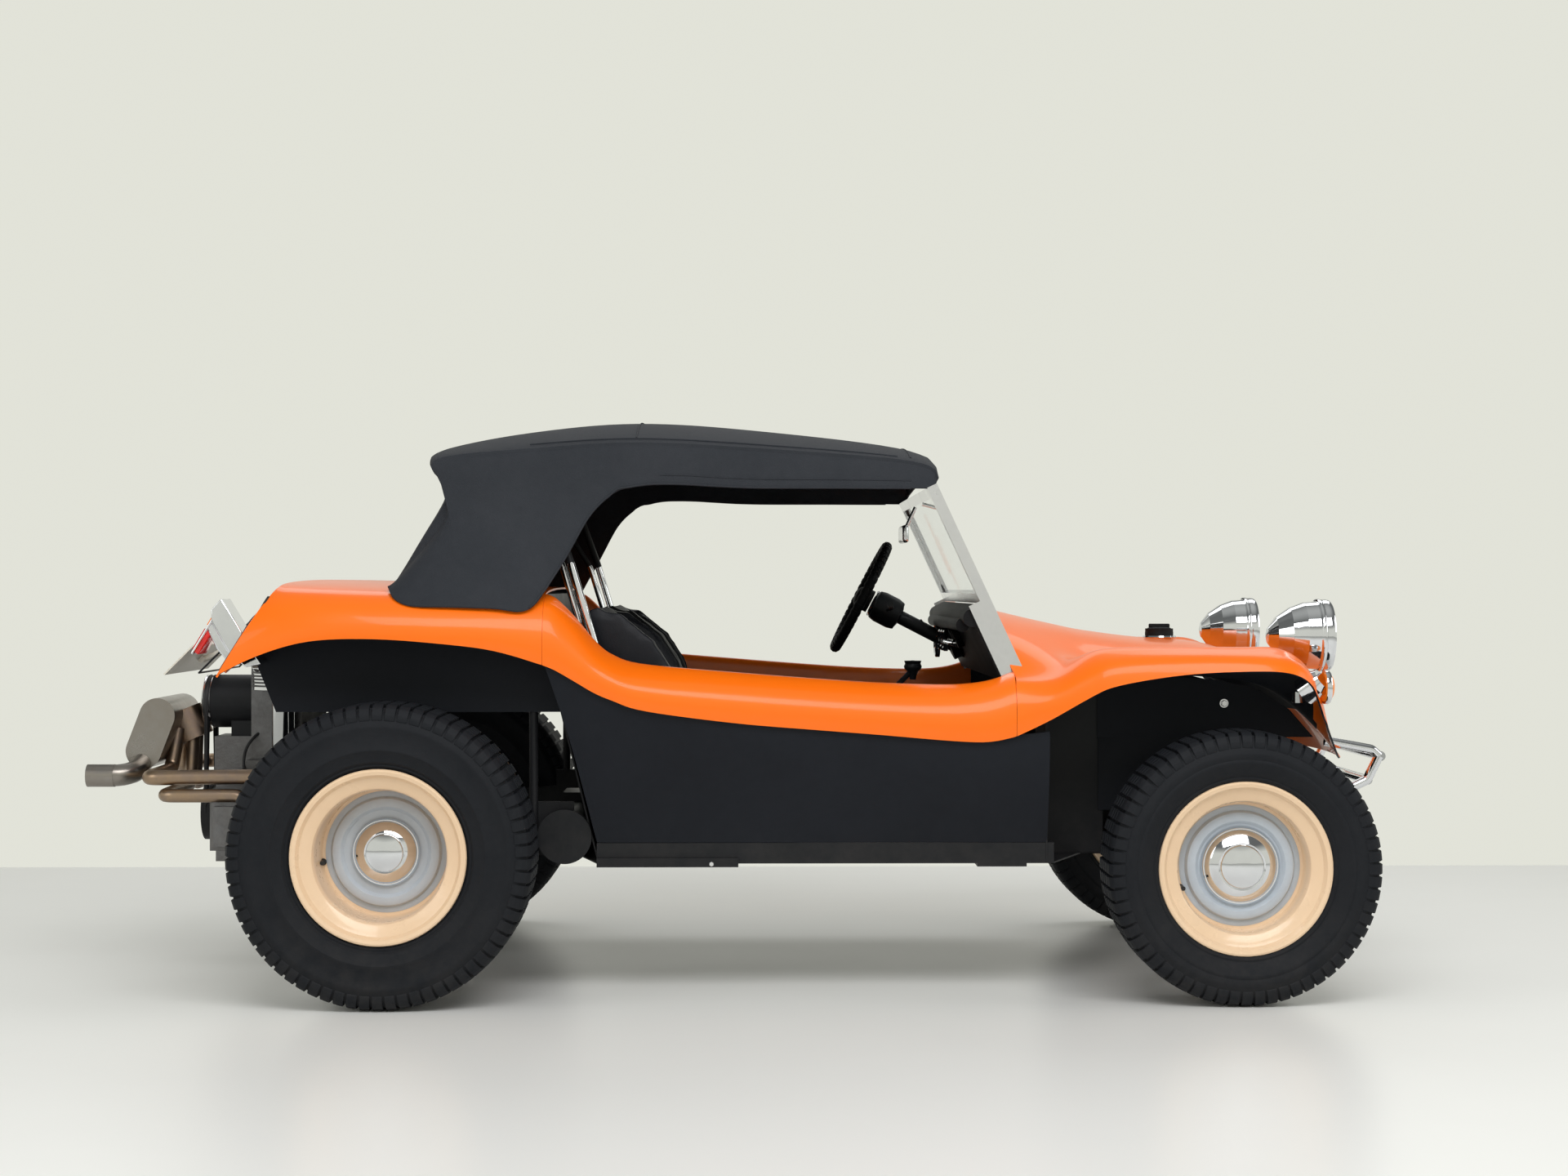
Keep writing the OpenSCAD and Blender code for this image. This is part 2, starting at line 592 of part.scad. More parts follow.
// ---- Running gear ----
beam_x = 2190;
module front_axle() {
  g = axle_tube_gap/2;
  arm = 34;
  damper_x = sx(2040) + 35;
  color(black) place() {
    for (z = [-g, g]) bar([sx(beam_x), -430, front_z + z], [sx(beam_x), 430, front_z + z],
      axle_tube_d);
    both_sides() {
      block([sx(beam_x) - 8, 372, front_z - g - 40], [sx(beam_x) + 8, 384, front_z + g + 190]);
      for (z = [-g, g]) {
        translate([sx(beam_x), 430, front_z + z]) rotate([-90, 0, 0]) cylinder(h = 30, d = 58);
        block([sx(2040), 434, front_z + z - arm/2], [sx(beam_x), 456, front_z + z + arm/2]);
        translate([sx(2040), 434, front_z + z]) rotate([-90, 0, 0]) cylinder(h = 40, d = 40);
      }
      difference() {
        union() {
          block([sx(2040) - 18, 470, front_z - g - 20], [sx(2040) + 18, 500, front_z + g + 20]);
          block([sx(2040) - 12, 500, front_z - 26], [sx(2040) + 12, kingpin_y, front_z + 26]);
          translate([sx(2040), kingpin_y, front_z - 26]) cylinder(h = 52, d = 40);
        }
        translate([sx(2040), kingpin_y, front_z - 40]) cylinder(h = 80, d = kingpin_d + 2*fit);
      }
      run([[damper_x, 445, front_z - g], [damper_x, 400, front_z + g + 170]], 44, 5);
      run([[damper_x, 404, front_z + g + 150], [sx(beam_x), 380, front_z + g + 150]], 16, 5);
    }
  }
}

module steering_box() {
  color(black) place() {
    block([sx(2040) - 36, column_y - 34, arm_z + 50], [sx(2040) + 34, column_y + 34, arm_z + 126]);
    block([sx(2040) + 30, column_y - 20, arm_z + 50], [sx(beam_x) + 16, column_y + 20, arm_z + 68]);
    block([sx(beam_x) - 16, column_y - 20, front_z + axle_tube_gap/2 + axle_tube_d/2 - 4],
      [sx(beam_x) + 16, column_y + 20, arm_z + 68]);
    difference() {
      translate([sx(2040), column_y, arm_z + 46]) cylinder(h = 10, d = 44);
      translate([sx(2040), column_y, arm_z + 40]) cylinder(h = 10, d = 20 + 2*fit);
    }
  }
}

// Drop arm under the steering box; both tie rods hang on its end pin
module drop_arm() {
  color(steel) place() {
    translate([sx(2040), column_y, arm_z]) cylinder(h = 49.6, d = 20);
    translate([sx(2040), column_y, arm_z]) cylinder(h = 10, d = 40);
    block([sx(2040), column_y - 12, arm_z], [sx(2040) + steer_arm, column_y + 12, arm_z + 10]);
    translate([sx(2040) + steer_arm, column_y, arm_z]) {
      cylinder(h = 10, d = 30);
      cylinder(h = 44, d = 12);
    }
  }
}

module tie_rod(y_end, z) {
  s = sign(y_end);
  x = sx(2040) + steer_arm;
  color(steel) place() difference() {
    union() {
      bar([x, column_y, z], [x, y_end, z], tie_d);
      for (y = [column_y, y_end]) translate([x, y, z - 7]) cylinder(h = 14, d = 28);
    }
    for (y = [column_y, y_end]) translate([x, y, z - 10]) cylinder(h = 20, d = 12 + 2*eye_fit);
  }
}
module tie_rod_left() { tie_rod(kingpin_y, rod_left_z); }
module tie_rod_right() { tie_rod(-kingpin_y, rod_right_z); }

module knuckle() {
  x = sx(2040);
  color("#5c5f63") place() {
    for (z = [front_z + 28, front_z - 46]) {
      translate([x, kingpin_y, z]) cylinder(h = 18, d = 38);
      block([x - 19, kingpin_y, z], [x + 19, kingpin_y + 40, z + 18]);
    }
    translate([x, kingpin_y, front_z - 46]) cylinder(h = 92, d = kingpin_d);
    block([x - 24, kingpin_y + 27, front_z - 46], [x + 24, kingpin_y + 42, arm_z + 10]);
    block([x - 24, kingpin_y + 16, arm_z], [x + steer_arm + 14, kingpin_y + 32, arm_z + 10]);
    block([x + steer_arm - 14, kingpin_y - 14, arm_z], [x + steer_arm + 14, kingpin_y + 32, arm_z + 10]);
    translate([x + steer_arm, kingpin_y, arm_z]) cylinder(h = 44, d = 12);
    translate([x, kingpin_y + 40, front_z]) rotate([-90, 0, 0]) {
      cylinder(h = 10, d = 60);
      cylinder(h = front_y + front_rim_w/2 - front_dish - 5 - kingpin_y - 40, d = spindle_d);
    }
  }
}
module knuckle_left() { knuckle(); }
module knuckle_right() { mirror([0, 1, 0]) knuckle(); }

// ---- Wheels: drawn round Z with the outer side up, then turned onto the axle ----
module on_axle(x, y, z) {
  place() both_or_one(y) translate([x, abs(y), z]) rotate([-90, 0, 0]) children();
}
module both_or_one(y) { if (y > 0) children(); else mirror([0, 1, 0]) children(); }

function turned(c) = concat(c, [for (i = [len(c) - 1:-1:0]) [c[i][0], -c[i][1]]]);

module tyre(d, w, rw) {
  r = d/2;
  b = rim_d/2;
  h = r - b;
  k = w/2;
  color("#1a1a1c") rotate_extrude($fn = 96) difference() {
    polygon(turned([[b + fit, rw/2 - 14.5], [b + 4, rw/2 - 12.5], [b + 17, rw/2 - 5.6],
      [b + 20, rw/2 - 4], [b + 0.42*h, k],
      [b + 0.62*h, k - 1], [r - 22, k - 12], [r - 5, k - 26], [r, k - 44],
      [r, k*0.36], [r - 7, k*0.34], [r - 7, k*0.26], [r, k*0.24]]));
    polygon(turned([[b - 30, rw/2 - 30], [b + 22, rw/2 - 24], [b + 0.42*h, k - 14],
      [b + 0.62*h, k - 15], [r - 34, k - 26], [r - 18, k - 52]]));
  }
}

module rim(w, dish, dx) {
  r = rim_d/2;
  k = w/2;
  well = r - 30;
  disc = k - dish;
  color(cream) {
    rotate_extrude($fn = 72) polygon([
      [r + 17, k], [r + 17, k - 5], [r + 4, k - 12], [r, k - 14], [r - 2, k - 46],
      [well, k - 60], [well, k - 86], [r - 2, k - 102], [r, -k + 14], [r + 4, -k + 12],
      [r + 17, -k + 5], [r + 17, -k], [r + 11, -k], [r - 2, -k + 12], [r - 6, -k + 16],
      [r - 6, disc - 22], [r - 6, k - 104], [well - 4, k - 88], [well - 4, k - 58], [r - 6, k - 44],
      [r - 4, k - 12], [r + 11, k - 4]]);
    rotate_extrude($fn = 72) difference() {
      polygon([[dx, disc - 8], [dx, disc + 14], [44, disc + 14], [62, disc + 2], [118, disc],
        [136, disc + 8], [r - 4, disc - 6], [r - 4, disc - 20], [132, disc - 8], [60, disc - 8]]);
    }
    difference() {
      translate([0, 0, disc - 3]) rotate_extrude($fn = 72) polygon([[0, 0], [cap_d/2, 0],
        [cap_d/2, 12], [cap_d*0.47, 22], [cap_d*0.36, 38], [cap_d*0.2, 48], [0, 52]]);
      translate([0, 0, disc + 3]) cylinder(h = 30, d1 = cap_d - 12, d2 = cap_d*0.4);
    }
    rotate_extrude() polygon([[dx, disc - 60], [dx, disc - 4], [60, disc - 4],
      [112, disc - 10], [116, disc - 66], [110, disc - 66], [106, disc - 20], [60, disc - 16],
      [44, disc - 60]]);
  }
}

module front_tyre() { tyre(front_tyre_d, front_tyre_w, front_rim_w); }
module rear_tyre() { tyre(rear_tyre_d, rear_tyre_w, rear_rim_w); }
module front_rim() { rim(front_rim_w, front_dish, spindle_d/2 + fit); }
// A rear rim turns with the stub of its half shaft
module rear_rim() {
  rim(rear_rim_w, rear_dish, 0);
  color(cream) translate([0, 0, 560 - rear_y])
    cylinder(h = rear_y - 560 + rear_rim_w/2 - rear_dish, d = shaft_d);
}
module tyre_front_left() { on_axle(sx(2040), front_y, front_z) front_tyre(); }
module tyre_front_right() { on_axle(sx(2040), -front_y, front_z) front_tyre(); }
module tyre_rear_left() { on_axle(0, rear_y, rear_z) rear_tyre(); }
module tyre_rear_right() { on_axle(0, -rear_y, rear_z) rear_tyre(); }
module rim_front_left() { on_axle(sx(2040), front_y, front_z) front_rim(); }
module rim_front_right() { on_axle(sx(2040), -front_y, front_z) front_rim(); }
module rim_rear_left() { on_axle(0, rear_y, rear_z) rear_rim(); }
module rim_rear_right() { on_axle(0, -rear_y, rear_z) rear_rim(); }

module rear_suspension() {
  tx = 418;
  tz = 386;
  color(black) place() {
    bar([sx(tx), -585, tz], [sx(tx), 585, tz], torsion_d);
    both_sides() {
      translate([sx(tx), 560, tz]) rotate([-90, 0, 0]) cylinder(h = 40, d = 132);
      block([sx(310), 545, tz - 30], [sx(tx) + 20, 553, tz + 82]);
      side_plate([[sx(tx) + 20, tz - 46], [sx(tx) + 20, tz + 46], [-20, rear_z + 34],
        [-20, rear_z - 34]], 545, 553);
      difference() {
        union() {
          bar([0, 120, rear_z], [0, 540, rear_z], rear_tube_d);
          bar([0, 535, rear_z], [0, 596, rear_z], 116);
        }
        bar([0, 542, rear_z], [0, 620, rear_z], shaft_d + 2*fit);
      }
    }
  }
}

// Uprights and dampers that carry the rear body
module rear_struts() {
  tz = 386;
  top_z = 975;
  color(black) place() {
    both_sides() {
      bar([sx(340), 556, tz - 30], [sx(340), 556, top_z], 22);
      bar([sx(340), 556, 700], [sx(392), 556, 760], 12);
      bar([sx(330), 556, tz], [sx(400), 556, tz], 18);
      bar([-44, 515, rear_z + 20], [-60, 515, 760], 46);
      bar([-60, 515, 740], [-60, 515, top_z + 14], 16);
      bar([-60, 515, top_z - 16], [sx(340), 556, top_z - 16], 20);
    }
    bar([sx(340), -556, top_z - 16], [sx(340), 556, top_z - 16], 22.5);
  }
}

module gearbox() {
  color("#6d6f70") place() {
    block([-120, -105, rear_z - 105], [110, 105, rear_z + 95]);
    translate([-60, 0, rear_z]) rotate([90, 0, 0]) cylinder(h = 300, d = 170, center = true);
    translate([100, 0, rear_z]) rotate([0, 90, 0]) cylinder(h = sx(418) - 100 - torsion_d/2 + 6, d = 120);
    translate([-130, 0, rear_z + 10]) rotate([0, 90, 0]) cylinder(h = 30, d = 290);
  }
}

module engine() {
  z = rear_z + 40;
  color("#55585b") place() {
    block([-520, -150, z - 120], [-130, 150, z + 90]);
    block([-500, -120, z - 150], [-180, 120, z - 118]);
    translate([-555, 0, z - 50]) rotate([0, 90, 0]) cylinder(h = 40, d = 90);
    both_sides() {
      for (x = [-235, -405]) {
        for (k = [0:7]) translate([x, 152 + k*15, z + 5]) rotate([-90, 0, 0])
          cylinder(h = 6, d = 140);
        translate([x, 145, z + 5]) rotate([-90, 0, 0]) cylinder(h = 150, d = 104);
      }
      block([-490, 270, z - 70], [-150, 350, z + 76]);
      block([-480, 350, z - 60], [-160, 372, z + 40]);
    }
    block([-420, -270, z + 84], [-200, 270, z + 150]);
    block([-420, -190, z + 140], [-290, 190, z + 430]);
    block([-540, -70, z + 86], [-420, 70, z + 200]);
  }
}

// Belt pulley, alternator and belt at the back of the engine
module belt_drive() {
  z = rear_z + 40;
  color("#3a3c3f") place() {
    translate([-580, 0, z - 2]) rotate([0, 90, 0]) cylinder(h = 62, d = 30);
    translate([-576, 0, z - 2]) rotate([0, 90, 0]) cylinder(h = 26, d = 150);
    translate([-580, 0, z + 290]) rotate([0, 90, 0]) cylinder(h = 30, d = 90);
    translate([-552, 0, z + 290]) rotate([0, 90, 0]) cylinder(h = 136, d = 140);
    for (s = [-1, 1]) bar([-563, s*70, z - 2], [-563, s*42, z + 290], 12);
    block([-500, -50, z + 196], [-430, 50, z + 240]);
  }
}

module air_cleaner() {
  z = rear_z + 40;
  color(steel) place() both_sides() {
    bar([-330, 230, z + 146], [-330, 230, z + 330], 60);
    translate([-330, 230, z + 330]) cylinder(h = 60, d = 150);
    translate([-330, 230, z + 390]) cylinder(h = 8, d = 158);
  }
}

// Headers from both sides into the collector
module headers() {
  z = rear_z + 40;
  color("#a59f94") place() {
    both_sides() {
      run([[-235, 330, z - 60], [-235, 330, 515], [-655, 330, 510], [-655, 62, 512],
        [-640, 44, 620]], header_d, 30);
      run([[-405, 345, z - 60], [-405, 345, 466], [-612, 345, 466], [-612, 30, 470],
        [-604, 20, 620]], header_d - 4, 28);
    }
    bar([-606, 0, 590], [-640, 0, 664], 104);
  }
}

// Oval silencer across the tail, with its tip
module silencer() {
  sil_y = 150;
  tip_x = -rear_overhang;
  tip_y = -sil_y - 82;
  tip_z = 509;
  color("#a59f94") place() {
    translate([-690, 0, 612]) rotate([0, 21, 0]) rotate([90, 0, 0])
      linear_extrude(2*sil_y, center = true) {
        translate([0, silencer_h/2 - silencer_w/2]) circle(d = silencer_w);
        translate([0, -silencer_h/2 + silencer_w/2]) circle(d = silencer_w);
        square([silencer_w, silencer_h - silencer_w], center = true);
      }
    run([[-715, -sil_y + 20, 535], [-715, tip_y, tip_z], [tip_x + 60, tip_y, tip_z]],
      tip_d - 2, 52, 24);
    difference() {
      bar([tip_x + 70, tip_y, tip_z], [tip_x, tip_y, tip_z], tip_d);
      bar([tip_x + 56, tip_y, tip_z], [tip_x - 5, tip_y, tip_z], tip_d - 2*pipe_t);
    }
  }
}

floor_pan();
tub_sides();
footwell();
inner_wings();
firewall();
front_body();
side_rails();
rear_body();
rear_panel();
dash();
windscreen_frame();
windscreen();
soft_top();
top_frame();
seat_left();
seat_right();
steering_column();
steering_wheel();
gear_lever();
pedals();
wipers();
front_bumper();
headlamps();
front_turn_lamps();
tail_lamps();
number_plate();
filler_cap();
front_axle();
steering_box();
drop_arm();
tie_rod_left();
tie_rod_right();
knuckle_left();
knuckle_right();
tyre_front_left();
tyre_front_right();
tyre_rear_left();
tyre_rear_right();
rim_front_left();
rim_front_right();
rim_rear_left();
rim_rear_right();
rear_suspension();
rear_struts();
gearbox();
engine();
belt_drive();
air_cleaner();
headers();
silencer();
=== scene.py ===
"""Looks of a dune buggy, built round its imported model: finishes, wheels, hood, seats, trim and stage."""
import math

import bpy
from mathutils import Matrix, Vector


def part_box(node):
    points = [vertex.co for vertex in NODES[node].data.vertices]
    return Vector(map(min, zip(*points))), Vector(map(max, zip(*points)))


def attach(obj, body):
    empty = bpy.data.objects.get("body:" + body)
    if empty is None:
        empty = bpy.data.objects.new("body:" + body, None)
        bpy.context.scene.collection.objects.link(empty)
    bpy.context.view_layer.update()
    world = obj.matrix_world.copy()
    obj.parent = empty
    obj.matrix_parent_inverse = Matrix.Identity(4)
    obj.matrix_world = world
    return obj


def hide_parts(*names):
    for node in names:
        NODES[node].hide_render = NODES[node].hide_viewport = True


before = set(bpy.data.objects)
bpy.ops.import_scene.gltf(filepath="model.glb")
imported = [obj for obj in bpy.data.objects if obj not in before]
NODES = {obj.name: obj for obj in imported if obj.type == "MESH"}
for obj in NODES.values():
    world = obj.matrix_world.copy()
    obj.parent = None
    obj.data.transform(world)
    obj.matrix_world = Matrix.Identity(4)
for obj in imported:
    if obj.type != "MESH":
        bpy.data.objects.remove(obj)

bl_info = {
    "name": "Dune Buggy Looks",
    "version": (1, 0, 0),
    "blender": (4, 5, 0),
    "location": "View3D > Sidebar > Buggy",
    "description": "Builds the visible pieces and finishes of a dune buggy around its packed frame",
    "category": "Object",
}

REAR_AXLE = sum(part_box("tyre_rear_left"), Vector()) / 2
FRONT_AXLE = sum(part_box("tyre_front_left"), Vector()) / 2
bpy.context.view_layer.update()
WELD = 0.00002  # corners closer than this are one corner, in metres
FRAME_WELD = 0.00005  # the same for meshes that come from the frame
TAIL_SLOPE = math.radians(31)  # lean of the tail lamps from upright
PLATE_SLOPE = math.radians(45)  # lean of the number plate from upright
PUFF_FRAMES = 20  # frames of cloth simulation for a seat
PUFF_LIMIT = 0.011  # farthest that the simulation may move a point, in metres


def station(x):
    """Frame X of a distance forward of the rear axle, both in metres."""
    return REAR_AXLE.x + x


# ---------------------------------------------------------------- sizes and colours

def length(name, text, value, low=0.0, high=1.0):
    return bpy.props.FloatProperty(name=name, description=text, default=value, min=low, max=high,
                                   subtype="DISTANCE", unit="LENGTH")


def count(name, text, value, low=1, high=200):
    return bpy.props.IntProperty(name=name, description=text, default=value, min=low, max=high)


def colour(name, text, value):
    return bpy.props.FloatVectorProperty(name=name, description=text, default=value, min=0, max=1,
                                         subtype="COLOR", size=3)


class BuggySizes(bpy.types.PropertyGroup):
    """Sizes of the detail that is added to the frame."""
    tread_depth: length("Tread depth", "Depth of the grooves between the tread blocks", 0.009, 0.003, 0.02)
    rear_pitches: count("Rear tread pitches", "Blocks in one row round a rear tyre", 70, 24, 80)
    front_pitches: count("Front tread pitches", "Blocks in one row round a front tyre", 64, 24, 80)
    rim_steps: count("Turned steps", "Segments round each rim", 96, 32, 160)
    cap_width: length("Hub cap width", "Diameter of a domed hub cap", 0.184, 0.1, 0.25)
    pleat_pitch: length("Pleat pitch", "Distance between two sewn channels of a seat", 0.042, 0.02, 0.1)
    pleat_depth: length("Pleat depth", "How far a sewn channel is pulled in", 0.006, 0.001, 0.02)
    piping: length("Piping", "Diameter of the piping along seams", 0.007, 0.003, 0.015)
    hem: length("Hem", "Width of the hem round the hood", 0.024, 0.01, 0.06)
    gasket: length("Gasket", "Diameter of the rubber strips on panel edges", 0.012, 0.004, 0.03)
    bolt: length("Bolt head", "Width across a small bolt head", 0.014, 0.006, 0.03)


class BuggyColours(bpy.types.PropertyGroup):
    """Colours of the finishes."""
    body: colour("Body", "Gelcoat of the moulded body", (1.0, 0.175, 0.004))
    tub: colour("Tub", "Lower side of the tub", (0.0075, 0.009, 0.013))
    hood: colour("Hood", "Grained vinyl of the soft top", (0.022, 0.025, 0.031))
    seat: colour("Seat", "Vinyl of the seats", (0.009, 0.010, 0.013))
    rim: colour("Rim", "Paint of the wheel rims", (0.86, 0.63, 0.42))
    disc: colour("Disc", "Paint of the wheel centres", (0.50, 0.56, 0.63))
    rubber: colour("Rubber", "Tyres and gaskets", (0.0095, 0.011, 0.014))
    stainless: colour("Stainless", "Silencer and bright steel", (0.33, 0.31, 0.285))
    header: colour("Header", "Heat tint of the header pipes", (0.42, 0.29, 0.17))
    amber: colour("Amber", "Turn lamp lenses", (0.85, 0.22, 0.01))
    red: colour("Red", "Tail lamp lenses", (0.55, 0.01, 0.008))
    floor: colour("Floor", "Studio floor", (0.90, 0.90, 0.88))


def sizes():
    return bpy.context.scene.buggy_sizes


def colours():
    return bpy.context.scene.buggy_colours


# ---------------------------------------------------------------- shader groups

def new_group(name, inputs, outputs):
    tree = bpy.data.node_groups.new(name, "ShaderNodeTree")
    for label, kind, value in inputs:
        socket = tree.interface.new_socket(name=label, in_out="INPUT", socket_type="NodeSocket" + kind)
        if value is not None:
            socket.default_value = value
    for label, kind in outputs:
        tree.interface.new_socket(name=label, in_out="OUTPUT", socket_type="NodeSocket" + kind)
    return tree, tree.nodes.new("NodeGroupInput"), tree.nodes.new("NodeGroupOutput")


def math_node(tree, kind, a, b=None, clamp=False):
    node = tree.nodes.new("ShaderNodeMath")
    node.operation, node.use_clamp = kind, clamp
    for slot, value in enumerate((a, b)):
        if isinstance(value, bpy.types.NodeSocket):
            tree.links.new(value, node.inputs[slot])
        elif value is not None:
            node.inputs[slot].default_value = value
    return node.outputs[0]


def mix_colour(tree, factor, a, b):
    node = tree.nodes.new("ShaderNodeMix")
    node.data_type = "RGBA"
    for slot, value in ((0, factor), (6, a), (7, b)):
        if isinstance(value, bpy.types.NodeSocket):
            tree.links.new(value, node.inputs[slot])
        else:
            node.inputs[slot].default_value = value
    return node.outputs[2]


def noise(tree, vector, scale, detail=3.0, roughness=0.55):
    node = tree.nodes.new("ShaderNodeTexNoise")
    node.inputs["Detail"].default_value = detail
    node.inputs["Roughness"].default_value = roughness
    tree.links.new(vector, node.inputs["Vector"])
    if isinstance(scale, bpy.types.NodeSocket):
        tree.links.new(scale, node.inputs["Scale"])
    else:
        node.inputs["Scale"].default_value = scale
    return node.outputs["Fac"]


def make_variation():
    """Cloudy change of colour and gloss over a surface."""
    tree, ins, outs = new_group("Surface variation", [
        ("Vector", "Vector", None), ("Colour", "Color", (0.5, 0.5, 0.5, 1)),
        ("Second Colour", "Color", (0.4, 0.4, 0.4, 1)), ("Scale", "Float", 6.0),
        ("Amount", "Float", 0.5), ("Roughness", "Float", 0.4), ("Spread", "Float", 0.1)],
        [("Colour", "Color"), ("Roughness", "Float")])
    broad = noise(tree, ins.outputs["Vector"], ins.outputs["Scale"], 4.0)
    fine = noise(tree, ins.outputs["Vector"], math_node(tree, "MULTIPLY", ins.outputs["Scale"], 9.0), 2.0)
    cloud = math_node(tree, "MULTIPLY_ADD", fine, 0.35)
    cloud.node.inputs[2].default_value = 0.0
    tree.links.new(broad, cloud.node.inputs[2])
    stretched = math_node(tree, "MULTIPLY", math_node(tree, "SUBTRACT", cloud, 0.45), 2.6, clamp=True)
    factor = math_node(tree, "MULTIPLY", stretched, ins.outputs["Amount"])
    tree.links.new(mix_colour(tree, factor, ins.outputs["Colour"], ins.outputs["Second Colour"]),
                   outs.inputs["Colour"])
    swing = math_node(tree, "MULTIPLY", math_node(tree, "SUBTRACT", cloud, 0.65), ins.outputs["Spread"])
    tree.links.new(math_node(tree, "ADD", ins.outputs["Roughness"], swing, clamp=True), outs.inputs["Roughness"])
    return tree


def make_grain():
    """Leathery or pebbled relief."""
    tree, ins, outs = new_group("Pebbled grain", [
        ("Vector", "Vector", None), ("Scale", "Float", 400.0), ("Softness", "Float", 0.4)],
        [("Height", "Float"), ("Pit", "Float")])
    cell = tree.nodes.new("ShaderNodeTexVoronoi")
    cell.feature = "SMOOTH_F1"
    tree.links.new(ins.outputs["Vector"], cell.inputs["Vector"])
    tree.links.new(ins.outputs["Scale"], cell.inputs["Scale"])
    tree.links.new(ins.outputs["Softness"], cell.inputs["Smoothness"])
    fine = noise(tree, ins.outputs["Vector"], math_node(tree, "MULTIPLY", ins.outputs["Scale"], 0.3), 2.0)
    height = math_node(tree, "ADD", math_node(tree, "MULTIPLY", cell.outputs["Distance"], -0.9), fine)
    tree.links.new(height, outs.inputs["Height"])
    tree.links.new(math_node(tree, "SUBTRACT", 1.0, cell.outputs["Distance"], clamp=True), outs.inputs["Pit"])
    return tree


def make_brushing():
    """Fine lines drawn out along one direction, for brushed and turned metal."""
    tree, ins, outs = new_group("Brushed lines", [
        ("Vector", "Vector", None), ("Stretch", "Vector", (1.0, 60.0, 60.0)), ("Scale", "Float", 12.0)],
        [("Height", "Float"), ("Streak", "Float")])
    scaled = tree.nodes.new("ShaderNodeVectorMath")
    scaled.operation = "MULTIPLY"
    tree.links.new(ins.outputs["Vector"], scaled.inputs[0])
    tree.links.new(ins.outputs["Stretch"], scaled.inputs[1])
    lines = noise(tree, scaled.outputs[0], ins.outputs["Scale"], 3.0, 0.7)
    tree.links.new(lines, outs.inputs["Height"])
    tree.links.new(math_node(tree, "SUBTRACT", lines, 0.5), outs.inputs["Streak"])
    return tree


def make_dust():
    """Pale dust that gathers low on the car, in cloudy patches."""
    tree, ins, outs = new_group("Road dust", [
        ("Vector", "Vector", None), ("Colour", "Color", (0.1, 0.1, 0.1, 1)),
        ("Dust", "Color", (0.23, 0.2, 0.17, 1)), ("Top", "Float", 0.6), ("Amount", "Float", 0.3)],
        [("Colour", "Color"), ("Mask", "Float")])
    parts = tree.nodes.new("ShaderNodeSeparateXYZ")
    tree.links.new(ins.outputs["Vector"], parts.inputs[0])
    low = math_node(tree, "SUBTRACT", 1.0, math_node(tree, "DIVIDE", parts.outputs[2], ins.outputs["Top"]), clamp=True)
    cloud = noise(tree, ins.outputs["Vector"], 22.0, 6.0, 0.65)
    patch = math_node(tree, "MULTIPLY", math_node(tree, "SUBTRACT", cloud, 0.36), 3.0, clamp=True)
    mask = math_node(tree, "MULTIPLY", math_node(tree, "MULTIPLY", low, patch), ins.outputs["Amount"], clamp=True)
    tree.links.new(mix_colour(tree, mask, ins.outputs["Colour"], ins.outputs["Dust"]), outs.inputs["Colour"])
    tree.links.new(mask, outs.inputs["Mask"])
    return tree


GROUPS = {}


def shader_group(name):
    makers = {"variation": make_variation, "grain": make_grain, "brushing": make_brushing, "dust": make_dust}
    if name not in GROUPS:
        GROUPS[name] = makers[name]()
    return GROUPS[name]


def place_group(tree, name, **values):
    node = tree.nodes.new("ShaderNodeGroup")
    node.node_tree = shader_group(name)
    for label, value in values.items():
        socket = node.inputs[label.replace("_", " ")]
        if isinstance(value, bpy.types.NodeSocket):
            tree.links.new(value, socket)
        else:
            socket.default_value = value
    return node


FINISHES = {}


def rgba(c):
    return (c[0], c[1], c[2], 1.0)


def shade(c, k):
    return tuple(min(1.0, x * k) for x in c)


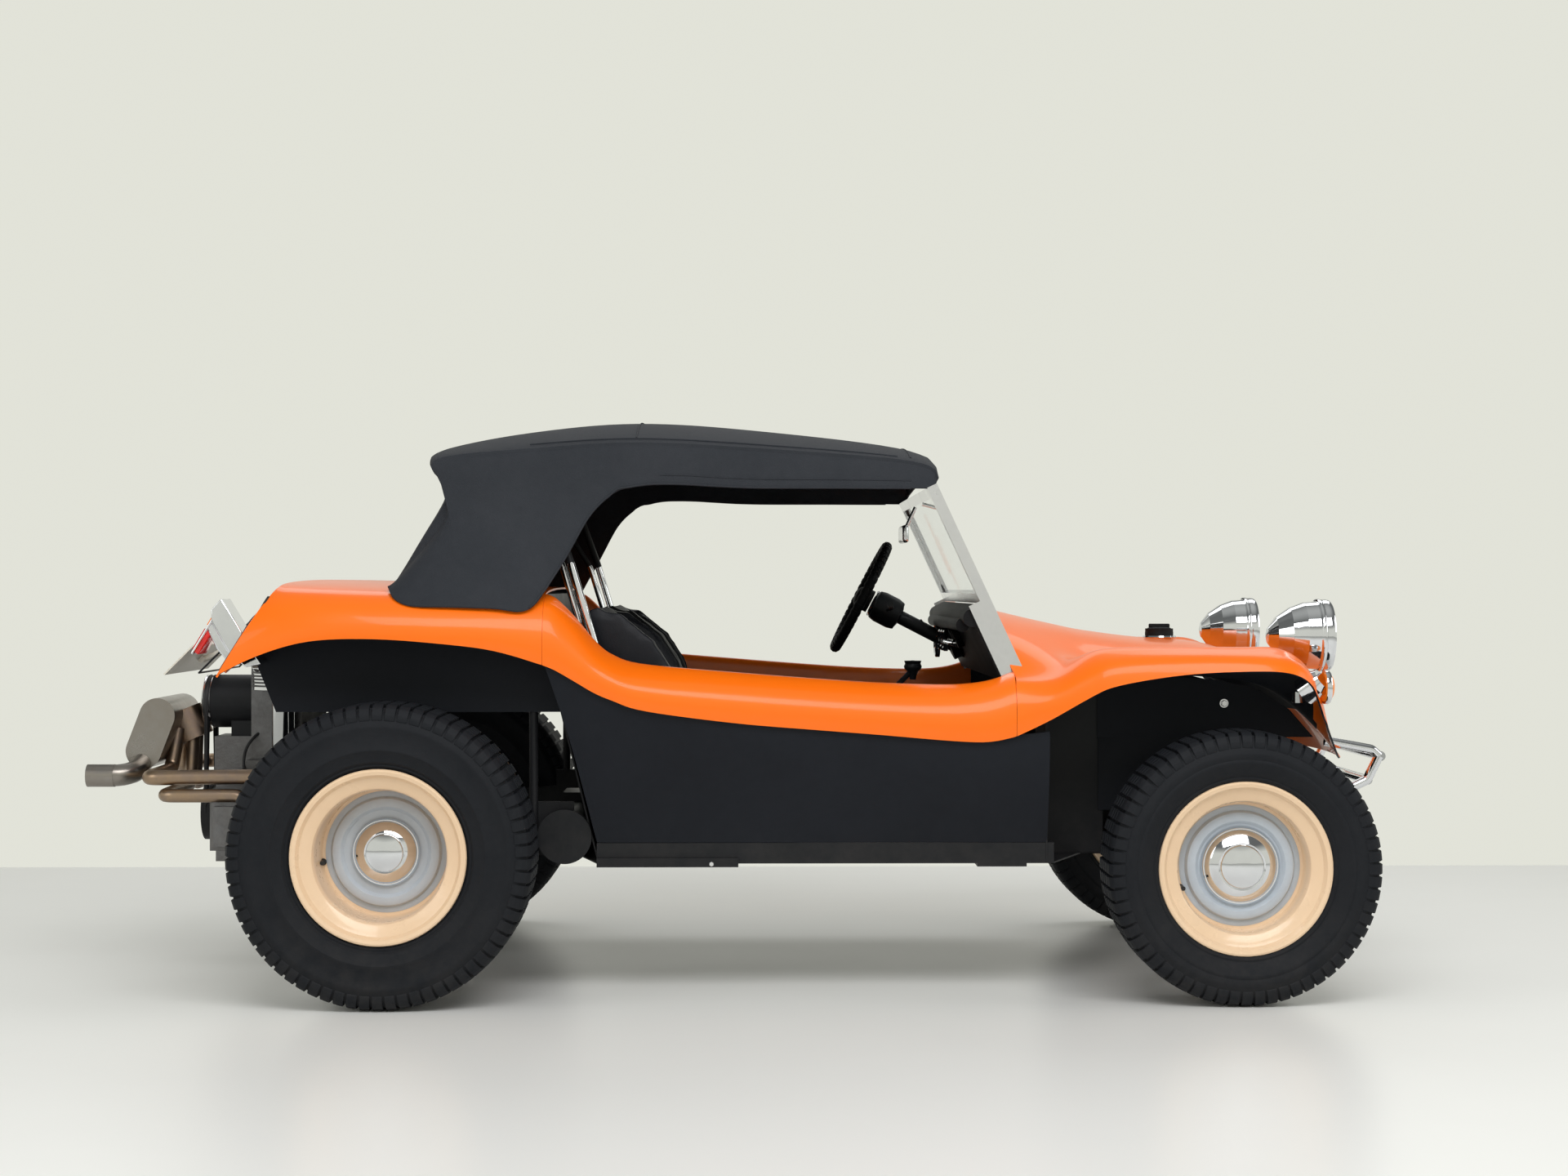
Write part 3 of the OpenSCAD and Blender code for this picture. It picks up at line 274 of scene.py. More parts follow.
def finish(name, base, rough=0.4, second=None, spread=0.12, scale=6.0, amount=0.6, metal=0.0, coat=0.0,
           grain=0.0, grain_scale=400.0, bump=0.0005, brushed=None, dust=0.0, dust_top=0.6, sheen=0.0,
           specular=0.5, emission=None, clear=0.0, ior=1.45):
    """A procedural finish: cloudy colour and gloss, relief and a little dust."""
    if name in FINISHES:
        return FINISHES[name]
    material = bpy.data.materials.new(name)
    material.use_nodes = True
    tree = material.node_tree
    shader = tree.nodes["Principled BSDF"]
    place = tree.nodes.new("ShaderNodeTexCoord").outputs["Object"]
    cloud = place_group(tree, "variation", Vector=place, Colour=rgba(base),
                        Second_Colour=rgba(second or shade(base, 0.72)), Scale=scale, Amount=amount,
                        Roughness=rough, Spread=spread)
    tint = cloud.outputs["Colour"]
    if dust:
        tint = place_group(tree, "dust", Vector=place, Colour=tint, Top=dust_top, Amount=dust).outputs["Colour"]
    tree.links.new(tint, shader.inputs["Base Color"])
    tree.links.new(cloud.outputs["Roughness"], shader.inputs["Roughness"])
    height = None
    if grain:
        height = place_group(tree, "grain", Vector=place, Scale=grain_scale).outputs["Height"]
    elif brushed:
        height = place_group(tree, "brushing", Vector=place, Stretch=brushed, Scale=14.0).outputs["Height"]
    if height is not None:
        relief = tree.nodes.new("ShaderNodeBump")
        relief.inputs["Strength"].default_value = grain or 0.2
        relief.inputs["Distance"].default_value = bump
        tree.links.new(height, relief.inputs["Height"])
        tree.links.new(relief.outputs["Normal"], shader.inputs["Normal"])
    shader.inputs["Metallic"].default_value = metal
    shader.inputs["Coat Weight"].default_value = coat
    shader.inputs["Coat Roughness"].default_value = 0.06
    shader.inputs["Specular IOR Level"].default_value = specular
    shader.inputs["IOR"].default_value = ior
    shader.inputs["Transmission Weight"].default_value = clear
    if sheen:
        shader.inputs["Sheen Weight"].default_value = sheen
        shader.inputs["Sheen Roughness"].default_value = 0.5
    if emission:
        shader.inputs["Emission Color"].default_value = rgba(emission)
        shader.inputs["Emission Strength"].default_value = 0.25
    FINISHES[name] = material
    return material


def gelcoat():
    return finish("orange_gelcoat", colours().body, 0.34, second=(0.94, 0.155, 0.004), spread=0.08, scale=1.6,
                  amount=0.5, coat=0.24, grain=0.06, grain_scale=160.0, bump=0.0004, specular=0.3)


def tub_black():
    return finish("tub_black", colours().tub, 0.55, second=(0.011, 0.013, 0.018), scale=4.0, amount=0.7,
                  grain=0.15, grain_scale=320.0, dust=0.05, dust_top=0.45, specular=0.2)


def satin_black():
    return finish("satin_black", (0.009, 0.010, 0.012), 0.45, second=(0.017, 0.017, 0.019), scale=9.0,
                  spread=0.2, dust=0.08, dust_top=0.6, grain=0.1, grain_scale=260.0, specular=0.25)


def hood_vinyl():
    return finish("hood_vinyl", colours().hood, 0.74, second=(0.034, 0.037, 0.044), scale=5.0, amount=0.6,
                  spread=0.14, grain=0.6, grain_scale=460.0, bump=0.0016, specular=0.22)


def seat_vinyl():
    return finish("seat_vinyl", colours().seat, 0.42, second=(0.017, 0.018, 0.022), scale=7.0, spread=0.14,
                  grain=0.32, grain_scale=620.0, bump=0.0008, specular=0.18)


def padded_vinyl():
    return finish("dash_vinyl", (0.008, 0.008, 0.009), 0.55, second=(0.014, 0.014, 0.015), scale=8.0,
                  grain=0.4, grain_scale=560.0, bump=0.0008, specular=0.12)


def tyre_rubber():
    return finish("tyre_rubber", colours().rubber, 0.62, second=(0.017, 0.018, 0.021), scale=7.0, spread=0.14,
                  grain=0.3, grain_scale=300.0, bump=0.0006, dust=0.06, dust_top=0.3, specular=0.16)


def gasket_rubber():
    return finish("gasket_rubber", (0.012, 0.012, 0.013), 0.5, second=(0.026, 0.026, 0.027), scale=20.0)


def rim_paint():
    return finish("rim_paint", colours().rim, 0.28, second=(0.80, 0.57, 0.37), scale=6.0, spread=0.12,
                  amount=0.5, coat=0.3, dust=0.08, dust_top=0.4, grain=0.05, grain_scale=200.0)


def disc_paint():
    return finish("disc_paint", colours().disc, 0.36, second=(0.42, 0.47, 0.54), scale=8.0, spread=0.14,
                  amount=0.6, coat=0.25, dust=0.08, dust_top=0.4)


def chrome():
    return finish("chrome", (0.74, 0.75, 0.77), 0.06, second=(0.62, 0.63, 0.65), scale=7.0, spread=0.08,
                  amount=0.4, metal=1.0)


def bright_aluminium():
    return finish("bright_aluminium", (0.78, 0.78, 0.79), 0.24, second=(0.66, 0.66, 0.67), scale=9.0, spread=0.14,
                  amount=0.5, metal=1.0, brushed=(60.0, 2.0, 2.0), bump=0.0002)


def stainless():
    return finish("brushed_stainless", colours().stainless, 0.30, second=(0.25, 0.215, 0.18), scale=5.0,
                  spread=0.22, amount=0.6, metal=1.0, brushed=(40.0, 2.0, 40.0), bump=0.0003)


def tinted_header():
    return finish("header_tint", colours().header, 0.36, second=(0.24, 0.19, 0.17), scale=6.0, spread=0.25,
                  amount=0.8, metal=1.0, brushed=(3.0, 40.0, 40.0), bump=0.0003, dust=0.25, dust_top=0.9)


def cast_alloy():
    return finish("cast_alloy", (0.20, 0.20, 0.205), 0.50, second=(0.10, 0.098, 0.095), scale=10.0, spread=0.25,
                  metal=0.85, grain=0.5, grain_scale=180.0, bump=0.0008, dust=0.4, dust_top=0.8)


def forged_iron():
    return finish("forged_iron", (0.10, 0.10, 0.105), 0.5, second=(0.19, 0.15, 0.12), scale=14.0, spread=0.25,
                  metal=0.8, grain=0.4, grain_scale=220.0, dust=0.3, dust_top=0.8)


def carpet():
    return finish("carpet", (0.020, 0.020, 0.022), 0.9, second=(0.045, 0.045, 0.048), scale=40.0, amount=0.8,
                  grain=0.9, grain_scale=900.0, bump=0.002, sheen=0.3)


def plate_white():
    return finish("plate_white", (0.78, 0.75, 0.66), 0.35, second=(0.66, 0.62, 0.52), scale=9.0, amount=0.5,
                  dust=0.1, dust_top=1.2)


def lens(name, tint):
    return finish(name, tint, 0.12, second=shade(tint, 0.6), scale=30.0, spread=0.05, amount=0.5, coat=0.6,
                  emission=tint)


def headlamp_glass():
    return finish("headlamp_glass", (0.80, 0.83, 0.85), 0.06, second=(0.66, 0.69, 0.72), scale=24.0, spread=0.05,
                  amount=0.5, coat=1.0, metal=0.55)


def clear_glass():
    return finish("clear_glass", (0.93, 0.97, 0.97), 0.02, second=(0.90, 0.95, 0.95), scale=3.0, spread=0.02,
                  amount=0.3, clear=0.96, ior=1.30)


def wear(obj, material):
    obj.data.materials.clear()
    obj.data.materials.append(material)
    return obj


# ---------------------------------------------------------------- modelling helpers

def fresh():
    """Leaves edit mode and deselects everything, so that an operator acts on the new piece alone."""
    if bpy.context.object and bpy.context.object.mode != "OBJECT":
        bpy.ops.object.mode_set(mode="OBJECT")
    bpy.ops.object.select_all(action="DESELECT")


def pick(obj):
    fresh()
    obj.select_set(True)
    bpy.context.view_layer.objects.active = obj
    return obj


def settle(obj, name=None, body=None, material=None, smooth=35.0):
    """Puts the piece's place into its mesh, shades it and hangs it on its body."""
    pick(obj)
    bpy.ops.object.transform_apply(location=True, rotation=True, scale=True)
    if smooth:
        bpy.ops.object.shade_smooth_by_angle(angle=math.radians(smooth))
    if name:
        obj.name = name
        obj.data.name = name
    if material:
        wear(obj, material)
    if body:
        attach(obj, body)
    fresh()
    return obj


def add_modifier(obj, kind, **values):
    pick(obj)
    modifier = obj.modifiers.new(kind.title(), kind)
    for key, value in values.items():
        setattr(modifier, key, value)
    bpy.ops.object.modifier_apply(modifier=modifier.name)
    return obj


def join(objects, name=None):
    fresh()
    for o in objects:
        o.select_set(True)
    bpy.context.view_layer.objects.active = objects[0]
    bpy.ops.object.join()
    if name:
        objects[0].name = name
        objects[0].data.name = name
    return objects[0]


def open_mesh(obj):
    """Enters edit mode with the whole mesh of the piece selected."""
    pick(obj)
    bpy.ops.object.mode_set(mode="EDIT")
    bpy.ops.mesh.select_all(action="SELECT")


def copy_of(obj, name, matrix=None):
    """A copy with its own mesh, moved or mirrored by matrix."""
    other = obj.copy()
    other.data = obj.data.copy()
    other.name, other.data.name = name, name
    for key in list(other.keys()):
        if key.startswith("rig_"):
            del other[key]
    other.parent = None
    other.matrix_world = Matrix.Identity(4)
    bpy.context.scene.collection.objects.link(other)
    if matrix is not None:
        other.data.transform(matrix)
        if matrix.determinant() < 0:
            other.data.flip_normals()
    return other


MIRROR = Matrix.Scale(-1, 4, (0, 1, 0))


def twin_on_chassis(*pieces):
    """Adds the right-hand twin of each left-hand piece."""
    for piece in pieces:
        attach(copy_of(piece, piece.name.replace("_left", "_right"), MIRROR), "chassis")


def line(points):
    """A chain of edges through the points, drawn by extruding one vertex from place to place."""
    fresh()
    bpy.ops.mesh.primitive_plane_add(size=0.01, location=points[0])
    bpy.ops.object.mode_set(mode="EDIT")
    bpy.ops.mesh.merge(type="CENTER")
    last = Vector(points[0])
    for p in points[1:]:
        bpy.ops.mesh.extrude_region_move(TRANSFORM_OT_translate={"value": Vector(p) - last})
        last = Vector(p)
    return bpy.context.object


def lathe(points, centre, axis, steps, closed=False):
    """A turned piece: the outline is drawn beside its axis and spun all the way round."""
    obj = line(points)
    bpy.ops.mesh.select_all(action="SELECT")
    if closed:
        bpy.ops.mesh.edge_face_add()
        bpy.ops.mesh.delete(type="ONLY_FACE")
        bpy.ops.mesh.select_all(action="SELECT")
    bpy.ops.mesh.spin(steps=steps, angle=math.tau, center=centre, axis=axis)
    bpy.ops.mesh.select_all(action="SELECT")
    bpy.ops.mesh.remove_doubles(threshold=WELD)
    bpy.ops.mesh.normals_make_consistent(inside=False)
    bpy.ops.object.mode_set(mode="OBJECT")
    return obj


def bar(outline, way):
    """A straight bar: the outline is filled, drawn out along way, and its edges are broken."""
    obj = line(outline)
    bpy.ops.mesh.select_all(action="SELECT")
    bpy.ops.mesh.edge_face_add()
    bpy.ops.mesh.extrude_region_move(TRANSFORM_OT_translate={"value": way})
    bpy.ops.mesh.select_all(action="SELECT")
    bpy.ops.mesh.normals_make_consistent(inside=False)
    bpy.ops.mesh.bevel(offset=0.0012, segments=1, affect="EDGES")
    bpy.ops.object.mode_set(mode="OBJECT")
    return obj


def turned_y(profile, centre, steps, side=1, closed=False):
    """Turned about a line along Y: the profile holds radius and depth outward from the centre."""
    points = [(centre[0], centre[1] + side * y, centre[2] + r) for r, y in profile]
    return lathe(points, centre, (0, 1, 0), steps, closed)


def block(low, high, bevel=0.002, segments=2):
    """A box with its edges rounded, so that light catches its rim."""
    low, high = Vector(low), Vector(high)
    fresh()
    bpy.ops.mesh.primitive_cube_add(size=1, location=(low + high) / 2)
    obj = bpy.context.object
    obj.scale = high - low
    bpy.ops.object.transform_apply(location=True, rotation=True, scale=True)
    bpy.ops.object.mode_set(mode="EDIT")
    bpy.ops.mesh.select_all(action="SELECT")
    bpy.ops.mesh.bevel(offset=bevel, segments=segments, affect="EDGES")
    bpy.ops.object.mode_set(mode="OBJECT")
    return obj


def tube(points, diameter, smooth=True, sides=5, ends=True):
    """Round bar or pipe bent along the points."""
    curve = bpy.data.curves.new("bent_tube", "CURVE")
    curve.dimensions = "3D"
    curve.bevel_depth = diameter / 2
    curve.bevel_resolution = sides
    curve.use_fill_caps = ends
    curve.resolution_u = 8
    spline = curve.splines.new("BEZIER" if smooth else "POLY")
    if smooth:
        spline.bezier_points.add(len(points) - 1)
        for handle, p in zip(spline.bezier_points, points):
            handle.co = p
            handle.handle_left_type = handle.handle_right_type = "AUTO"
    else:
        spline.points.add(len(points) - 1)
        for vertex, p in zip(spline.points, points):
            vertex.co = (*p, 1)
    obj = bpy.data.objects.new("bent_tube", curve)
    bpy.context.scene.collection.objects.link(obj)
    pick(obj)
    bpy.ops.object.convert(target="MESH")
    return bpy.context.object


def bolt_head(centre, normal, width, height=None):
    """A hexagon head with a raised washer face."""
    normal = Vector(normal).normalized()
    turn = normal.to_track_quat("Z", "Y").to_matrix().to_4x4()
    height = height or width * 0.5
    fresh()
    bpy.ops.mesh.primitive_cylinder_add(vertices=6, radius=width / 2, depth=height, location=(0, 0, height / 2))
    obj = bpy.context.object
    bpy.ops.object.transform_apply(location=True, rotation=True, scale=True)
    bpy.ops.object.mode_set(mode="EDIT")
    bpy.ops.mesh.select_all(action="SELECT")
    bpy.ops.mesh.bevel(offset=width * 0.06, segments=1, affect="EDGES")
    bpy.ops.mesh.primitive_cylinder_add(vertices=16, radius=width * 0.66, depth=height * 0.2,
                                        location=(0, 0, height * 0.1))
    bpy.ops.object.mode_set(mode="OBJECT")
    obj.data.transform(Matrix.Translation(centre) @ turn)
    return obj


def panel_from(nodes, name, levels=1, crease=40.0, smooth=50.0):
    """A smooth panel on the shape of CAD nodes: a copy with its triangles merged, paired and subdivided."""
    copies = []
    for n in nodes:
        copy = copy_of(NODES[n], name + "_part")
        copy.hide_render = copy.hide_viewport = False
        copies.append(copy)
    obj = join(copies, name) if len(copies) > 1 else copies[0]
    obj.name = name
    obj.data.materials.clear()
    open_mesh(obj)
    bpy.ops.mesh.customdata_custom_splitnormals_clear()
    bpy.ops.mesh.remove_doubles(threshold=FRAME_WELD)
    bpy.ops.mesh.tris_convert_to_quads(face_threshold=math.radians(50), shape_threshold=math.radians(60))
    if levels:
        bpy.ops.mesh.select_all(action="DESELECT")
        bpy.ops.mesh.select_mode(type="EDGE")
        bpy.ops.mesh.edges_select_sharp(sharpness=math.radians(crease))
        bpy.ops.transform.edge_crease(value=0.9)
    bpy.ops.mesh.select_mode(type="VERT")
    bpy.ops.object.mode_set(mode="OBJECT")
    if levels:
        add_modifier(obj, "SUBSURF", levels=levels, render_levels=levels, boundary_smooth="PRESERVE_CORNERS")
    pick(obj)
    bpy.ops.object.shade_smooth_by_angle(angle=math.radians(smooth))
    fresh()
    return obj


# ---------------------------------------------------------------- operators

class BuildOperator:
    """Shared by every building step."""
    bl_options = {"REGISTER", "UNDO"}


class BUGGY_OT_finishes(BuildOperator, bpy.types.Operator):
    """Give every kept part of the frame its procedural finish"""
    bl_idname = "buggy.finishes"
    bl_label = "Frame finishes"

    def execute(self, context):
        by_node = {
            satin_black: ("floor_pan", "firewall", "footwell", "rear_struts", "rear_suspension", "front_axle",
                          "steering_box", "steering_column", "pedals", "belt_drive"),
            tub_black: ("inner_wings",),
            forged_iron: ("drop_arm", "tie_rod_left", "tie_rod_right", "knuckle_left", "knuckle_right"),
            clear_glass: ("windscreen",),
            cast_alloy: ("gearbox", "engine"),
            chrome: ("air_cleaner", "headlamps", "front_turn_lamps"),
            padded_vinyl: ("dash", "filler_cap", "gear_lever"),
            plate_white: ("number_plate",),
            bright_aluminium: ("windscreen_frame", "wipers"),
        }
        for make, names in by_node.items():
            for n in names:
                wear(NODES[n], make())
        return {"FINISHED"}


class BUGGY_OT_body(BuildOperator, bpy.types.Operator):
    """Lay the smooth gelcoat body, the tub sides and the bent tubes over the frame"""
    bl_idname = "buggy.body"
    bl_label = "Body panels and tubes"

    def blacken_inside(self, piece):
        """Faces of a moulding that look down, and its walls that face inward, take the black of the tub."""
        piece.data.materials.append(tub_black())
        for face in piece.data.polygons:
            n, side = face.normal, 1 if face.center.y > 0 else -1
            if (n.z < -0.25 and abs(n.x) < 0.75) or (abs(face.center.y) > 0.3 and n.y * side < -0.45 and n.z < 0.1):
                face.material_index = 1

    def execute(self, context):
        shells = (("front_body", "nose_and_wings", gelcoat, 1), ("side_rails", "cockpit_rails", gelcoat, 1),
                  ("rear_body", "rear_deck", gelcoat, 1), ("rear_panel", "tail_panel", gelcoat, 1),
                  ("tub_sides", "lower_tub", tub_black, 1), ("front_bumper", "bumper_tube", chrome, 0),
                  ("top_frame", "hood_bows", chrome, 0), ("headers", "header_pipes", tinted_header, 0),
                  ("silencer", "oval_silencer", stainless, 0))
        for node, name, make, levels in shells:
            piece = panel_from([node], name, levels)
            wear(piece, make())
            if node in ("front_body", "rear_body"):
                self.blacken_inside(piece)
            if node == "top_frame":
                piece.data.materials.append(satin_black())
                for face in piece.data.polygons:
                    face.material_index = int(face.center.z > 1.12)
                for vertex in piece.data.vertices:
                    vertex.co.z -= 0.007 * min(max((vertex.co.z - 1.12) / 0.1, 0), 1)
            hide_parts(node)
            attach(piece, "chassis")
        return {"FINISHED"}


class BUGGY_OT_tyres(BuildOperator, bpy.types.Operator):
    """Mould the four tyres with their sidewall rings and blocks of tread"""
    bl_idname = "buggy.tyres"
    bl_label = "Tyres"

    def carcass(self, centre, radius, half, rim, steps):
        crown = radius - sizes().tread_depth
        side = [(rim + 0.002, half * 0.70), (rim + 0.018, half * 0.80), (rim + 0.024, half * 0.86),
                (rim + 0.028, half * 0.855), (rim + 0.034, half * 0.91), (rim + 0.058, half * 0.965),
                (rim + 0.061, half * 0.983), (rim + 0.066, half * 0.984), (rim + 0.069, half * 0.972),
                (radius - 0.062, half * 0.985), (radius - 0.057, half), (radius - 0.051, half),
                (radius - 0.047, half * 0.982), (radius - 0.030, half * 0.95), (radius - 0.020, half * 0.89),
                (crown - 0.001, half * 0.80), (crown, half * 0.45), (crown, 0)]
        return turned_y(side + [(r, -y) for r, y in reversed(side[:-1])], centre, steps, closed=True)

    def tread(self, centre, radius, half, pitches):
        pitch = math.tau * radius / pitches
        top = centre.z + radius
        deep = sizes().tread_depth + 0.003
        blocks = []
        for y, wide, shift in ((0.0, 0.20, 0.0), (0.31, 0.22, 0.5), (-0.31, 0.22, 0.5)):
            x = centre.x + (shift - 0.5 * (shift > 0)) * pitch
            blocks.append(block((x - pitch * 0.39, centre.y + (y - wide / 2) * half, top - deep),
                                (x + pitch * 0.39, centre.y + (y + wide / 2) * half, top - 0.0007), 0.0016, 1))
        for s in (1, -1):
            edge = [(0.50, -0.0006), (0.76, -0.002), (0.90, -0.010), (0.968, -0.024), (0.982, -0.037),
                    (0.955, -0.041), (0.86, -0.030), (0.50, -deep)]
            points = [(centre.x - pitch * 0.38, centre.y + s * a * half, top + b) for a, b in edge]
            blocks.append(bar(points, (pitch * 0.76, 0, 0)))
        one = pick(join(blocks))
        bpy.ops.object.transform_apply(location=True, rotation=True, scale=True)
        open_mesh(one)
        bpy.ops.mesh.spin(steps=pitches - 1, dupli=True, angle=math.tau * (pitches - 1) / pitches,
                          center=centre, axis=(0, 1, 0))
        bpy.ops.object.mode_set(mode="OBJECT")
        return one

    def execute(self, context):
        s = sizes()
        for where, pitches in (("rear", s.rear_pitches), ("front", s.front_pitches)):
            low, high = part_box(f"tyre_{where}_left")
            rim_low, rim_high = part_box(f"rim_{where}_left")
            centre, radius, half = (low + high) / 2, (high.z - low.z) / 2, (high.y - low.y) / 2
            rim = (rim_high.z - rim_low.z) / 2 - 0.017
            tyre = join([self.carcass(centre, radius, half, rim, 120), self.tread(centre, radius, half, pitches)])
            settle(tyre, f"tread_tyre_{where}_left", material=tyre_rubber(), smooth=32)
            other = copy_of(tyre, f"tread_tyre_{where}_right", MIRROR)
            for piece, side in ((tyre, "left"), (other, "right")):
                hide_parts(f"tyre_{where}_{side}")
                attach(piece, f"wheel_{where}_{side}")
        return {"FINISHED"}


class BUGGY_OT_rims(BuildOperator, bpy.types.Operator):
    """Spin the stepped rims with their painted centres, domed caps and valves"""
    bl_idname = "buggy.rims"
    bl_label = "Rims and hub caps"

    def execute(self, context):
        s = sizes()
        for where, centre, inset, cap_scale in (("rear", REAR_AXLE, -0.039, 0.88),
                                                ("front", FRONT_AXLE, -0.001, 1.02)):
            low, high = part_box(f"rim_{where}_left")
            flange = (high.z - low.z) / 2
            r = flange - 0.017
            w = high.y - centre.y
            face = [(flange, w - 0.005), (flange - 0.002, w - 0.001), (flange - 0.006, w), (r + 0.003, w - 0.003),
                    (r - 0.001, w - 0.010), (r - 0.004, w - 0.015), (r - 0.012, w - 0.019), (r - 0.026, w - 0.024),
                    (r - 0.031, w - 0.028), (r - 0.034, w - 0.036), (r - 0.035, w - 0.050), (r - 0.035, w - 0.066),
                    (r - 0.036, inset + 0.010), (r - 0.038, inset + 0.003), (r - 0.047, inset + 0.001),
                    (r - 0.047, inset - 0.004), (r - 0.034, inset - 0.006), (r - 0.030, inset - 0.012),
                    (r - 0.029, -w + 0.030), (r - 0.010, -w + 0.014), (r + 0.002, -w + 0.006), (flange - 0.004, -w),
                    (flange, -w + 0.005), (r + 0.006, -w + 0.011), (r, -w + 0.020), (r, -w + 0.055),
                    (r - 0.024, -w + 0.065), (r - 0.028, w - 0.052), (r - 0.024, w - 0.038), (r - 0.006, w - 0.026),
                    (r, w - 0.018), (r + 0.006, w - 0.011)]
            rim = turned_y(face, centre, s.rim_steps, closed=True)
            settle(rim, f"painted_rim_{where}_left", material=rim_paint(), smooth=28)
            disc = turned_y([(r - 0.045, inset + 0.002), (r - 0.052, inset + 0.004), (r - 0.058, inset + 0.003),
                             (r - 0.063, inset + 0.014), (r - 0.070, inset + 0.017), (r - 0.082, inset + 0.016),
                             (r - 0.090, inset + 0.008), (0.060, inset + 0.006), (0, inset + 0.006)],
                            centre, s.rim_steps)
            inner = 0.560 - centre.y if where == "rear" else inset - 0.05
            hub = turned_y([(0.0, inset + 0.006), (0.034, inset + 0.005), (0.034, inset - 0.03),
                            (0.017, inset - 0.034), (0.017, inner), (0.0, inner)], centre, 48)
            disc = join([disc, hub])
            settle(disc, f"wheel_centre_{where}_left", material=disc_paint(), smooth=30)
            c = s.cap_width / 2 * cap_scale
            cap = turned_y([(c, inset + 0.007), (c + 0.002, inset + 0.010), (c + 0.001, inset + 0.014),
                            (c * 0.96, inset + 0.019), (c * 0.93, inset + 0.019), (c * 0.90, inset + 0.023),
                            (c * 0.78, inset + 0.032), (c * 0.60, inset + 0.039), (c * 0.56, inset + 0.038),
                            (c * 0.53, inset + 0.041), (c * 0.34, inset + 0.046), (c * 0.16, inset + 0.048),
                            (0.0, inset + 0.0485)], centre, s.rim_steps)
            settle(cap, f"chrome_cap_{where}_left", material=chrome(), smooth=30)
            turn = math.radians(99 if where == "rear" else 110)
            out = Vector((-math.sin(turn), 0, math.cos(turn)))
            foot = centre + out * (r - 0.038) + Vector((0, inset + 0.006, 0))
            tip = foot + Vector((0, 0.034, 0)) - out * 0.003
            valve = tube([foot - Vector((0, 0.004, 0)), foot + Vector((0, 0.014, 0)), tip], 0.0105, sides=4)
            nut = lathe([foot + Vector((0, y, 0)) + out * q for q, y in
                         ((0.0085, 0.0), (0.0085, 0.004), (0.0065, 0.006), (0.0055, 0.010))],
                        foot, (0, 1, 0), 20)
            valve = join([valve, nut])
            settle(valve, f"valve_{where}_left", material=gasket_rubber(), smooth=40)
            for piece in (rim, disc, cap, valve):
                twin = copy_of(piece, piece.name.replace("_left", "_right"), MIRROR)
                for p, side in ((piece, "left"), (twin, "right")):
                    if "painted_rim" in p.name:
                        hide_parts(f"rim_{where}_{side}")
                    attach(p, f"wheel_{where}_{side}")
        return {"FINISHED"}


class BUGGY_OT_hood(BuildOperator, bpy.types.Operator):
    """Stretch the vinyl hood over its bows, with its seams and piping"""
    bl_idname = "buggy.hood"
    bl_label = "Soft top"

    def on_cloth(self, cloth, points, lift):
        """The points moved down on to the cloth, or up to it where they lie below."""
        found = []
        for p in points:
            hit, place, normal, _ = cloth.ray_cast(Vector((p[0], p[1], 1.8)), Vector((0, 0, -1)))
            if hit:
                found.append(place + normal * lift)
        return found

    def execute(self, context):
        s = sizes()
        cloth = panel_from(["soft_top"], "vinyl_hood", 1, crease=28.0, smooth=30.0)
        wear(cloth, hood_vinyl())
        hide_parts("soft_top")
        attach(cloth, "chassis")
        seams = []
        xs = [station(x / 1000) for x in range(330, 1290, 60)]
        for y in (0.548, -0.548):
            seams.append(tube(self.on_cloth(cloth, [(x, y, 0) for x in xs], 0.0005), 0.0045, sides=3))
        for x in (0.590, 1.262):
            ys = [y / 100 for y in range(-54, 55, 9)]
            seams.append(tube(self.on_cloth(cloth, [(station(x), y, 0) for y in ys], 0.0005), 0.0045, sides=3))
        for side in (1, -1):
            edge = [(0.345, 0.716, 0.942), (0.380, 0.682, 0.990), (0.412, 0.652, 1.040), (0.480, 0.622, 1.135),
                    (0.548, 0.596, 1.230), (0.650, 0.593, 1.232), (0.880, 0.592, 1.234), (1.100, 0.591, 1.234),
                    (1.314, 0.590, 1.233)]
            drawn = []
            for a, b in zip(edge, edge[1:]):
                for k in range(4):
                    p = Vector(a).lerp(Vector(b), k / 4)
                    drawn.append(cloth.closest_point_on_mesh(Vector((station(p.x), side * p.y, p.z)))[1])
            seams.append(tube(drawn, s.piping * 0.8, sides=4))
            hem = [cloth.closest_point_on_mesh(p + Vector((0, side * 0.02, s.hem)))[1] for p in drawn[20:]]
            seams.append(tube(hem, 0.0035, sides=3))
        piping = settle(join(seams), "hood_seams", "chassis", hood_vinyl(), 45)
        return {"FINISHED"}


